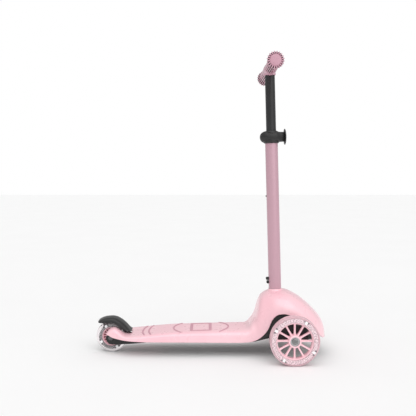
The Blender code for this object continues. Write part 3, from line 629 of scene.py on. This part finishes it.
def ribbon(name, node, path, width, closed=False):
    """Raised rubber ribbon with a crowned top that follows the deck along (station, y) points."""
    count = len(path)
    bm = bmesh.new()
    rows = []
    for i, (x, y) in enumerate(path):
        before = path[i - 1] if closed or i else path[i]
        after = path[(i + 1) % count] if closed or i < count - 1 else path[i]
        along = Vector((after[0] - before[0], (after[1] - before[1]) / MM)).normalized()
        near_end = (abs(2 * i / (count - 1) - 1) - 0.93) / 0.07
        taper = 1.0 if closed else min(1.0, math.sqrt(max(0.01, 1 - near_end)))
        half = (width(along) if callable(width) else width) / 2 * taper
        row = []
        for offset, lift in RIBBON_CROWN:
            place = x - along.y * offset * half
            across = y + along.x * offset * half * MM
            height = deck_height(place, across) + RIBBON_GAP + lift
            row.append(Vector((fwd(place), across, height)))
        rows.append(row)
    if closed:
        rows.append(rows[0])
    sweep_rows(bm, rows, cap=not closed)
    bmesh.ops.remove_doubles(bm, verts=bm.verts, dist=1e-6)
    add_piece(name, bm, "inlay", "deck", (node,), 50)


def bow(station, depth, half_length, count=37):
    """A shallow arc across the deck, its ends depth millimetres ahead of its middle."""
    spread = [-1 + 2 * i / (count - 1) for i in range(count)]
    return [(station + depth * t * t, half_length * t) for t in spread]


def foot_grips():
    """Two bows at the rear, then a plain frame between two brackets."""
    for name, (station, depth, half_length, width) in GRIP_LINES.items():
        ribbon("grip_" + name, "foot_grip_" + name, bow(station, depth, half_length), width)
    path = []
    for a, b in zip(GRIP_FRAME, GRIP_FRAME[1:] + GRIP_FRAME[:1]):
        path += [(a[0] + (b[0] - a[0]) * k / 16, a[1] + (b[1] - a[1]) * k / 16) for k in range(16)]
    ribbon("grip_frame", "foot_grip_frame", path, lambda along: 3.4 + 3.8 * abs(along.y), True)


# ------------------------------------------------------------------ wheels

WHEELS = {
    "front_left": {"hub": WHEEL_LEFT, "out": 1, "body": "front_wheel_left"},
    "front_right": {"hub": WHEEL_RIGHT, "out": -1, "body": "front_wheel_right"},
    "rear": {"hub": REAR_AXLE, "out": -1, "body": "rear_wheel"},
}
LAMPS = 4


def wheel_sizes(prefix):
    """Radii and widths of a wheel's pieces, taken from the CAD nodes' boxes."""
    def half(node, axis):
        low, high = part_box(node)
        return (high[axis] - low[axis]) / 2

    front = prefix != REAR
    return {
        "tyre": half(prefix + "_tyre", 2),
        "width": half(prefix + "_tyre", 1),
        "rim": half(prefix + "_wheel_core", 2),
        "core_width": half(prefix + "_wheel_core", 1),
        "ring": half(prefix + "_light_ring", 2),
        "hub": 0.016 if front else 0.0145,
        "rim_in": 0.0415 if front else 0.0215,
        "spoke": 0.0046 if front else 0.0022,
        "spokes": 12 if front else 18,
        "band": 0.0555 if front else 0.0315,
        "lamp": (0.0478, 0.0557, 0.0058) if front else (0.0262, 0.0330, 0.0062),
        "lamp_angle": math.radians(60 if front else 28),
    }


def wheel_core(prefix, spec, size, matrix):
    """Hub barrel, rim hoop and crowned spokes that swell into both."""
    half, hub, rim_in = size["core_width"], size["hub"], size["rim_in"]
    web = 0.0046
    bm = bmesh.new()
    barrel = [
        (0.0113, half, 0.0004), (hub - 0.001, half, 0.0014), (hub, half * 0.45, 0.002),
        (hub, -half * 0.45, 0.002), (hub - 0.001, -half, 0.0014), (0.0113, -half, 0.0004),
    ]
    lathe(bm, rounded(barrel, 0.001), matrix, 64)
    edge = half - 0.0016
    hoop = [
        (rim_in + 0.0012, edge, 0.0006), (size["rim"], edge, 0.0006),
        (size["rim"], -edge, 0.0006), (rim_in + 0.0012, -edge, 0.0006),
        (rim_in - 0.0003, -web, 0.002), (rim_in - 0.0003, web, 0.002),
    ]
    lathe(bm, rounded(hoop, 0.001), matrix, 96)
    for k in range(size["spokes"]):
        spin = matrix @ Matrix.Rotation(math.tau * k / size["spokes"], 4, "Z")
        rows = []
        for i in range(9):
            t = i / 8
            radius = hub - 0.0012 + (rim_in - hub + 0.0022) * t
            from_middle = abs(2 * t - 1)
            wide = size["spoke"] / 2 * (1 + 0.55 * from_middle ** 5)
            tall = web * (1 + 0.2 * from_middle ** 4)
            row = []
            for j in range(16):
                angle = math.tau * j / 16
                across = signed_power(math.cos(angle), 0.6) * wide
                deep = signed_power(math.sin(angle), 0.6) * tall
                row.append(spin @ Vector((radius, across, deep)))
            rows.append(row)
        sweep_rows(bm, rows)
    if prefix == REAR:
        web_disc = [(hub - 0.001, 0.0006), (rim_in + 0.001, 0.0006)]
        web_disc += [(radius, -height) for radius, height in reversed(web_disc)]
        disc = lathe(bmesh.new(), web_disc, matrix, 72)
        add_piece(prefix + "_core_web", disc, "deep_red", spec["body"])
    nodes = (prefix + "_wheel_core",)
    add_piece(prefix + "_spoked_core", bm, "wheel_pink", spec["body"], nodes)


def wheel_tyre(prefix, spec, size, matrix):
    """Cast tyre: side walls recessed for the coil band, round shoulders and a crowned tread."""
    outer, half, inner = size["tyre"], size["width"], size["ring"] + 0.0003
    band = size["band"] + 0.0002
    recess = half - 0.0014
    shoulder = outer - band - 0.0008
    profile = [(inner, recess), (band, recess), (band + 0.0004, half - 0.0002)]
    for i in range(8):
        swing = math.pi / 2 * i / 8
        radius = outer - shoulder + shoulder * math.sin(swing) - 0.0003
        profile.append((radius, half - shoulder * (1 - math.cos(swing))))
    profile += [(outer - 0.0001, half * 0.4), (outer, 0)]
    profile += [(radius, -height) for radius, height in reversed(profile[:-1])]
    bm = lathe(bmesh.new(), profile, matrix, 96)
    material = "clear" if prefix == REAR else "milky"
    nodes = (prefix + "_tyre",)
    add_piece(prefix + "_cast_tyre", bm, material, spec["body"], nodes, 60)


def coil_band(prefix, spec, size, matrix):
    """Bands let into both side walls, the hoop they stand on, and the coil's raised windings."""
    half, outer, ring = size["width"], size["band"], size["ring"]
    inner, depth = size["rim"] + 0.0002, size["width"] - 0.0034
    ribs = 36 if prefix == REAR else 60
    bm = bmesh.new()
    lathe(bm, [(inner, depth), (ring, depth), (ring, -depth), (inner, -depth)], matrix, 96)
    near = inner + 0.0012
    for side in (-1, 1):
        low, high = side * (half - 0.0013), side * (half - 0.0005)
        edge = [(inner, low), (outer, low), (outer, high, 0.0003), (inner + 0.0004, high, 0.0003)]
        lathe(bm, rounded(edge, 0.0, segments=2), matrix, 96)
        for k in range(ribs):
            spin = matrix @ Matrix.Rotation(math.tau * (k + 0.5) / ribs, 4, "Z")
            far = near + (outer - inner - 0.0024) * (0.75 if k % 4 else 0.35)
            outline = [(near, -0.00045), (far, -0.00070), (far, 0.00070), (near, 0.00045)]
            prism(bm, outline, 0.0006, spin @ Matrix.Translation((0, 0, high)), 0.0002)
    material = "coil_grey" if prefix == REAR else "silver"
    nodes = (prefix + "_light_ring",)
    add_piece(prefix + "_coil_band", bm, material, spec["body"], nodes)


def lamp_pods(prefix, spec, size, matrix):
    """Four lamps on each side wall, each between two grey socket feet."""
    lamps, sockets = bmesh.new(), bmesh.new()
    near, far, wide = size["lamp"]
    half = size["width"]
    outline = [(near, -wide * 0.46), (far, -wide * 0.54), (far, wide * 0.54), (near, wide * 0.46)]
    foot = [
        (far - 0.0042, wide * 0.62), (far - 0.0006, wide * 0.66),
        (far - 0.0006, wide * 1.25), (far - 0.0042, wide * 1.15),
    ]
    for k in range(LAMPS):
        spin = matrix @ Matrix.Rotation(size["lamp_angle"] + math.tau * k / LAMPS, 4, "Z")
        for side in (-1, 1):
            face = spin @ Matrix.Translation((0, 0, side * (half - 0.0006)))
            prism(lamps, rounded(outline, 0.0010), 0.0011, face, 0.0004)
            for turn in (-1, 1):
                mirrored = [(x, y * turn) for x, y in foot][::turn]
                prism(sockets, mirrored, 0.0008, face, 0.0002)
    add_piece(prefix + "_lamps", lamps, "lamp", spec["body"])
    add_piece(prefix + "_lamp_sockets", sockets, "socket", spec["body"])


def wheel_matrix(spec):
    """Local +Z is the wheel's outer side and local +Y is up, so one spoke stands upright."""
    outward = Vector((0, spec["out"], 0))
    upward = Vector((0, 0, 1))
    turn = Matrix((upward.cross(outward), upward, outward)).transposed().to_4x4()
    return Matrix.Translation(spec["hub"]) @ turn


def all_wheels():
    for prefix, spec in WHEELS.items():
        size = wheel_sizes(prefix)
        matrix = wheel_matrix(spec)
        for make in (wheel_core, wheel_tyre, coil_band, lamp_pods):
            make(prefix, spec, size, matrix)


# ------------------------------------------------------------------ chassis and axles

# body, slot, material and bevel width of each piece
BROKEN_EDGES = {
    "rear_fork": ("deck", "black_plastic", "black", 0.0010),
    "chassis_tray": ("deck", "black_plastic", "liner", 0.0006),
    "stem_socket": ("deck", "black_plastic", "liner", 0.0005),
    "truck_mount": ("deck", "black_plastic", "liner", 0.0006),
    "front_truck": ("front_truck", "black_plastic", "liner", 0.0007),
    "rear_axle": ("deck", "zinc_steel", "dark_steel", 0.0004),
    "rear_axle_nut": ("deck", "zinc_steel", "dark_steel", 0.0004),
}


def broken_edges():
    """Rounds the edges of chassis pieces whose CAD shape is otherwise kept."""
    for node, (body, slot, material, width) in BROKEN_EDGES.items():
        fine = put(node + "_fine", frame["nodes"][node].data.copy())
        fine.data.materials.clear()
        fine.data.materials.append(MATERIALS[material])
        weld = fine.modifiers.new("Weld", "WELD")
        weld.merge_threshold = 0.00001
        soften(fine, width, 3, 24)
        bake_modifiers(fine)
        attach(fine, body)
        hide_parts(node)


def axle_caps():
    """Domed bolts with a recess in the head, in place of the plain CAD bolts."""
    for side, prefix in (("left", "front_left"), ("right", "front_right")):
        spec = WHEELS[prefix]
        low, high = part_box("front_axle_" + side)
        outer = abs(high[1] if spec["out"] > 0 else low[1]) - abs(spec["hub"].y)
        matrix = wheel_matrix(spec)
        inner = outer - (high[1] - low[1])
        profile = [
            (0, outer - 0.0016), (0.0024, outer - 0.0016, 0.0002), (0.0030, outer - 0.0001, 0.0004),
            (0.0060, outer - 0.0002, 0.0012), (0.0078, outer - 0.0014, 0.0006),
            (0.0078, outer - 0.0026, 0.0003), (0.0040, outer - 0.0026, 0.0002),
            (0.0040, inner, 0.0004), (0, inner),
        ]
        bm = lathe(bmesh.new(), rounded(profile, 0.0004, False), matrix, 48, False)
        nodes = ("front_axle_" + side,)
        add_piece("front_axle_bolt_" + side, bm, "zinc", "front_truck", nodes)


# ------------------------------------------------------------------ brake fender

# station and height, from the hood's tail to its front foot
FENDER_RIDGE = (
    (-33, 81.2), (-23.5, 86.2), (-13, 89), (0, 90), (11, 88.3), (21, 83.4), (31, 76.5),
    (39, 68.8), (46, 60.5), (51.5, 55.4),
)
FENDER_SKIRT = (
    (-30.5, 78.2), (-22, 77.2), (-11, 78), (0, 78.2), (8, 77), (15, 73.4), (22, 67.8),
    (28, 62.2), (35, 58.4), (45.5, 56.6),
)
FENDER_HALF = 0.0220
FENDER_WALL = 0.0027


def along_line(line, k):
    """Point at position k, in points from the first, of the smooth curve through a line."""
    return Vector([smooth_rail(tuple((n, p[axis]) for n, p in enumerate(line)), k) for axis in (0, 1)])


def fender_hood():
    """Hooded shell, flat along its back and turned down to its side skirts."""
    count = 34
    rows = []
    for i in range(count + 1):
        k = (len(FENDER_RIDGE) - 1) * i / count
        top, low = along_line(FENDER_RIDGE, k), along_line(FENDER_SKIRT, k)
        row = []
        for j in range(25):
            turn = math.pi * j / 24
            across = signed_power(math.cos(turn), 0.5) * FENDER_HALF
            place = top + (low - top) * (1 - math.sin(turn) ** 0.62)
            row.append(Vector((fwd(place.x), across, place.y * MM)))
        rows.append(row)
    bm = bmesh.new()
    arch_strip(bm, rows)
    hood = to_object("fender_hood", bm, MATERIALS["fender"])
    thicken(hood, FENDER_WALL)
    soften(hood, 0.0007, 2, 50)
    bake_modifiers(hood)
    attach(hood, "brake")
    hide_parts("brake_fender")


def fender_lugs():
    """Two ears on the hinge pin."""
    lugs = bmesh.new()
    hinge = Vector(joint("brake_press")["pos_m"])
    turn = Matrix.Rotation(math.pi / 2, 4, "X")
    outline = [(-0.0030, -0.0032), (0.0028, -0.0032), (0.0028, 0.0074), (-0.0030, 0.0084)]
    for side in (-1, 1):
        place = Matrix.Translation(hinge + Vector((0, side * 0.01045, 0))) @ turn
        prism(lugs, rounded(outline, 0.0012), 0.0042, place, 0.0003)
    piece = add_piece("fender_lugs", lugs, "fender", "brake")
    carve(piece, drill(0.0023, 0.02, -0.02, frame_at(hinge, ACROSS), 32))


# ------------------------------------------------------------------ stem, clamp and handlebar

STEM_RADIUS = 0.0160
MAST_RADIUS = 0.0125
MAST_HOLE = 0.0128
WINDOW = (0.1762, 0.1942)
STOP_PIN_HEIGHT = 0.40182


def stem():
    """Painted tube with softly broken ends and the button's window, and the ring round its foot."""
    frame_z = stem_frame()
    profile = [
        (0.0132, 0.558, 0.0004), (STEM_RADIUS, 0.558, 0.0006),
        (STEM_RADIUS, 0.096, 0.0006), (0.0132, 0.096, 0.0004),
    ]
    bm = lathe(bmesh.new(), rounded(profile, 0.0004), frame_z, 96)
    tube = add_piece("stem_outer_tube", bm, "mauve", "stem", ("stem_tube",))
    window = block((-0.020, -0.0046, WINDOW[0]), (-0.010, 0.0046, WINDOW[1]), frame_z)
    pin_hole = drill(0.0021, 0.02, 0.009, frame_at(on_stem(STOP_PIN_HEIGHT), -STEM_AHEAD), 24)
    carve(tube, window, pin_hole)
    ring = [
        (0.0164, 0.1640, 0.0003), (0.0190, 0.1600, 0.0010),
        (0.0200, 0.1570, 0.0006), (0.0168, 0.1570, 0.0003),
    ]
    bm = lathe(bmesh.new(), rounded(ring, 0.0005), frame_z, 96)
    add_piece("stem_collar_ring", bm, "pink", "deck")


def inner_tube():
    """Drawn tube that slides in the stem and carries the bar."""
    profile = [
        (0.0110, 0.716), (MAST_RADIUS, 0.716, 0.0004), (MAST_RADIUS, 0.3302, 0.0004), (0.0110, 0.3302),
    ]
    bm = lathe(bmesh.new(), rounded(profile, 0.0), stem_frame(), 96)
    add_piece("inner_tube_drawn", bm, "tube", "handlebar", ("inner_tube",))


def button():
    """Latch button: two rounded lobes on one slide."""
    bm = bmesh.new()
    slide = [(-0.0155, 0.1770), (-0.0120, 0.1770), (-0.0120, 0.1934), (-0.0155, 0.1934)]
    turn = stem_frame() @ Matrix.Rotation(math.pi / 2, 4, "X")
    prism(bm, rounded(slide, 0.0006), 0.0082, turn, 0.0003)
    for low, high, reach in ((0.1858, 0.1937, 0.0227), (0.1767, 0.1845, 0.0214)):
        lobe = [(-0.0150, low), (-0.0150, high), (-reach, high - 0.0006), (-reach, low + 0.0006)]
        prism(bm, rounded(lobe, 0.0022, segments=5), 0.0084, turn, 0.0008)
    add_piece("latch_button", bm, "black", "release_button", ("release_button",))


def clamp_barrel(matrix, frame_z):
    """Barrel lying along X: bullet-shaped behind, a straight screw boss ahead."""
    profile = [(0, -0.0292)]
    for i in range(1, 12):
        angle = math.pi / 2 * i / 12
        profile.append((0.0160 * math.sin(angle) ** 0.85, -0.0095 - 0.0197 * math.cos(angle)))
    profile += [
        (0.0160, -0.006), (0.0160, 0.0100), (0.0152, 0.0145), (0.0134, 0.0185),
        (0.0127, 0.0225), (0.0126, 0.0300), (0.0118, 0.0313), (0, 0.0313),
    ]
    up = matrix.to_3x3().inverted() @ STEM_UP

    def widen(point):
        """Swells the barrel sideways where it goes round the stem."""
        side = point - up * point.dot(up)
        side.z = 0
        swell = 1 + 0.27 * max(0.0, 1 - (point.z / 0.024) ** 2)
        return point + side * (swell - 1)

    bm = lathe(bmesh.new(), profile, matrix, 64, False, widen)
    nodes = ("clamp_collar",)
    collar = add_piece("clamp_barrel", bm, "black", "stem", nodes, 40)
    bore = drill(0.0163, 0.5586, 0.52, frame_z)
    mast_hole = drill(MAST_HOLE, 0.60, 0.50, frame_z)
    stud_hole = drill(0.0033, 0.05, 0.0168, matrix, 32)
    slit = block((0.0165, -0.0007, 0.520), (0.0290, 0.0007, 0.575), frame_z)
    carve(collar, bore, mast_hole, stud_hole, slit)


def clamp_bands(frame_z):
    """The collar's rings below and above the barrel."""
    for name, inner, rows in (
        ("lower", 0.0164, ((0.0182, 0.5358, 0.0006), (0.0192, 0.5390, 0.002), (0.0192, 0.5480))),
        ("top", 0.0129, ((0.0152, 0.5672, 0.0008), (0.0176, 0.5630, 0.002), (0.0176, 0.5592))),
    ):
        section = [(inner, rows[0][1]), *rows, (inner, rows[-1][1])]
        band = lathe(bmesh.new(), rounded(section, 0.0003), frame_z, 64)
        add_piece(f"clamp_{name}_band", band, "black", "stem")


def clamp_knob(matrix):
    """Flat hand knob on the stud."""
    profile = [
        (0, 0.0378), (0.0070, 0.0377, 0.002), (0.0160, 0.0364, 0.002), (0.0203, 0.0348, 0.0008),
        (0.0203, 0.0335, 0.0006), (0.0180, 0.0328, 0.001), (0.0118, 0.0322, 0.001),
        (0.0110, 0.0317, 0.0003), (0.0033, 0.0317), (0.0033, 0.0350), (0, 0.0350),
    ]

    def scallop(point):
        """Shallow finger notches round the rim."""
        radius = math.hypot(point.x, point.y)
        if radius < 0.0175:
            return point
        angle = math.atan2(point.y, point.x)
        scale = 1 - 0.022 * max(0.0, math.cos(8 * angle)) ** 4
        return Vector((point.x * scale, point.y * scale, point.z))

    bm = lathe(bmesh.new(), rounded(profile, 0.0, False), matrix, 96, False, scallop)
    add_piece("clamp_hand_knob", bm, "black", "clamp_knob", ("clamp_knob",))


def clamp():
    matrix = frame_at(CLAMP, STEM_AHEAD)
    frame_z = stem_frame()
    clamp_barrel(matrix, frame_z)
    clamp_bands(frame_z)
    clamp_knob(matrix)


FINS = 20
FIN_SECTION = ((-1.25, 0), (-1.15, 0.75), (-0.7, 0.96), (0, 1), (0.7, 0.96), (1.15, 0.75), (1.25, 0))
GRIP_BORE = 0.0111


def grip_core(side, axis, start, end):
    """Dark core that shows between the fins, with the end flange's root; its near-black colour is
    painted shade for the deep grooves and the flange's slots.
    """
    section = [
        (0.0122, start + 0.0006), (0.0122, end - 0.0160), (0.0146, end - 0.0095),
        (0.0186, end - 0.0056), (0.0188, end - 0.0040), (0.0156, end - 0.0034),
        (0.0147, end - 0.0034), (0.0147, end - 0.0049), (GRIP_BORE, end - 0.0049),
        (GRIP_BORE, start + 0.0006),
    ]
    bm = lathe(bmesh.new(), section, axis, 88)
    nodes = ("grip_" + side,)
    add_piece("grip_core_" + side, bm, "dark_rubber", "handlebar", nodes)


def grip_fins(side, axis, start, end):
    """Long fins that flare into the teeth of the end flange."""
    bm = bmesh.new()
    line = [
        (start, 0.0136), (start + 0.003, 0.0148), (start + 0.012, 0.0152), (end - 0.030, 0.0152),
        (end - 0.018, 0.0155), (end - 0.011, 0.0166), (end - 0.0065, 0.0196),
        (end - 0.0035, 0.0207), (end - 0.0010, 0.0207), (end - 0.0001, 0.0199),
    ]
    for k in range(FINS):
        spin = axis @ Matrix.Rotation(math.tau * (k + 0.5) / FINS, 4, "Z")
        rows = []
        for height, radius in line:
            flare = max(0.0, (radius - 0.0152) / 0.0055)
            wide = 0.00092 + 0.00030 * flare
            base = 0.0119 if height < end - 0.017 else 0.0144
            row = []
            for across, deep in FIN_SECTION:
                row.append(spin @ Vector((base + (radius - base) * deep, across * wide, height)))
            rows.append(row)
        sweep_rows(bm, rows)
    add_piece("grip_fins_" + side, bm, "grip_pink", "handlebar", (), 50)


def grip_ends(side, axis, start, end):
    """Ring at the grip's inner end and the smooth cap in its outer one."""
    ring = [
        (GRIP_BORE, start, 0.0003), (0.0148, start, 0.0008), (0.0152, start + 0.0030, 0.0008),
        (0.0130, start + 0.0046, 0.0004), (GRIP_BORE, start + 0.0046, 0.0003),
    ]
    bm = lathe(bmesh.new(), rounded(ring, 0.0005), axis, 88)
    add_piece("grip_inner_ring_" + side, bm, "grip_pink", "handlebar")
    cap = [
        (0, end - 0.0001), (0.0080, end - 0.0002, 0.002), (0.0132, end - 0.0007, 0.001),
        (0.0143, end - 0.0018, 0.0006), (0.0143, end - 0.0047, 0.0003), (0.0100, end - 0.0047),
        (0.0100, end - 0.0076), (0, end - 0.0076),
    ]
    bm = lathe(bmesh.new(), rounded(cap, 0.0004, False), axis, 88, False)
    nodes = ("grip_cap_" + side,)
    add_piece("grip_end_cap_" + side, bm, "cap_mauve", "handlebar", nodes)


def grip(side, out):
    """Soft grip on one end of the bar."""
    low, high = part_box("grip_" + side)
    start, end = sorted((abs(low[1]), abs(high[1])))
    axis = frame_at(BAR, (0, out, 0))
    for make in (grip_core, grip_fins, grip_ends):
        make(side, axis, start, end)


def handlebar():
    """Bar with a swollen middle, the neck below it, and both grips."""
    axis = frame_at(BAR, ACROSS)
    ends = 0.1260
    half = [
        (0, ends), (0.0107, ends, 0.0006), (0.0107, 0.0237, 0), (0.0140, 0.0237, 0.0008),
        (0.0150, 0.0215, 0.002), (0.0156, 0.0160, 0.003), (0.0160, 0.0060, 0.004),
    ]
    profile = half + [(r[0], -r[1], *r[2:]) for r in reversed(half)]
    bm = lathe(bmesh.new(), rounded(profile, 0.001, False, 4), axis, 64, False)
    bar = add_piece("t_bar_body", bm, "grip_pink", "handlebar", ("t_bar",))
    sleeve = [
        (0, 0.7190), (0.0148, 0.7190), (0.0148, 0.7075, 0.001), (0.0138, 0.7064, 0.0006), (0, 0.7064),
    ]
    bm = lathe(bmesh.new(), rounded(sleeve, 0.001, False), stem_frame(), 64, False)
    neck = add_piece("t_bar_neck", bm, "grip_pink", "handlebar")
    for piece in (bar, neck):
        carve(piece, drill(MAST_HOLE, 0.7163, 0.66, stem_frame()))
    for side, out in (("left", 1), ("right", -1)):
        grip(side, out)


# ------------------------------------------------------------------ stage, light and camera

CAMERA_AHEAD = 0.2483
CAMERA_SIDE = -1.4995
CAMERA_HEIGHT = 0.4549
CAMERA_PITCH = 0.0561
LENS = 50.74
# height and bearing in degrees, strength, and spread in degrees
SUNS = {"overhead": (70, -97, 1.06, 68), "front_key": (28, -60, 0.70, 66)}
ROOM_STRENGTH = 0.60
FLOOR_HALF = 12


def camera():
    """Looks at the scooter's right side from a little above the deck, pitched slightly down."""
    data = bpy.data.cameras.new("camera")
    data.sensor_width = 36.0
    data.lens = LENS
    obj = put("camera", data)
    obj.location = (REAR_AXLE.x + CAMERA_AHEAD, CAMERA_SIDE, CAMERA_HEIGHT)
    obj.rotation_euler = (math.pi / 2 - CAMERA_PITCH, 0, 0)
    bpy.context.scene.camera = obj


def soft_sun(name, height, bearing, strength, spread):
    """A broad light from a height and a bearing in degrees; -90 is on the camera's side."""
    data = bpy.data.lights.new(name, "SUN")
    data.energy = strength
    data.angle = math.radians(spread)
    up, turn = math.radians(height), math.radians(bearing)
    level = math.cos(up)
    towards = Vector((level * math.cos(turn), level * math.sin(turn), math.sin(up)))
    put(name, data).rotation_euler = towards.to_track_quat("Z", "Y").to_euler()


def studio_floor():
    bm = bmesh.new()
    bmesh.ops.create_grid(bm, x_segments=8, y_segments=8, size=FLOOR_HALF)
    paper = Shader("floor_paper", (0.95, 0.95, 0.95), 0.9).tint(3, (0.94, 0.94, 0.94))
    floor = to_object("studio_floor", bm, paper.bump((300, 0.0001, EVEN)).material)


def white_room():
    """Even light from all round, and plain white behind the floor's edge."""
    world = bpy.data.worlds.new("studio_room")
    bpy.context.scene.world = world
    world.use_nodes = True
    nodes, links = world.node_tree.nodes, world.node_tree.links
    room = nodes["Background"]
    room.inputs["Color"].default_value = (1, 1, 1, 1)
    room.inputs["Strength"].default_value = ROOM_STRENGTH
    backdrop = nodes.new("ShaderNodeBackground")
    backdrop.inputs["Color"].default_value = (1, 1, 1, 1)
    seen = nodes.new("ShaderNodeLightPath")
    either = nodes.new("ShaderNodeMixShader")
    links.new(seen.outputs["Is Camera Ray"], either.inputs["Fac"])
    links.new(room.outputs["Background"], either.inputs[1])
    links.new(backdrop.outputs["Background"], either.inputs[2])
    links.new(either.outputs["Shader"], nodes["World Output"].inputs["Surface"])


def studio():
    """Pale floor, a broad light overhead, a weaker one from the front, and a white room."""
    studio_floor()
    for name, (height, bearing, strength, spread) in SUNS.items():
        soft_sun(name, height, bearing, strength, spread)
    white_room()
    bpy.context.scene.view_settings.view_transform = "Standard"


dress_nodes()
camera()
studio()
deck_moulding()
edge_bead()
foot_grips()
all_wheels()
axle_caps()
broken_edges()
fender_hood()
fender_lugs()
stem()
inner_tube()
button()
clamp()
handlebar()
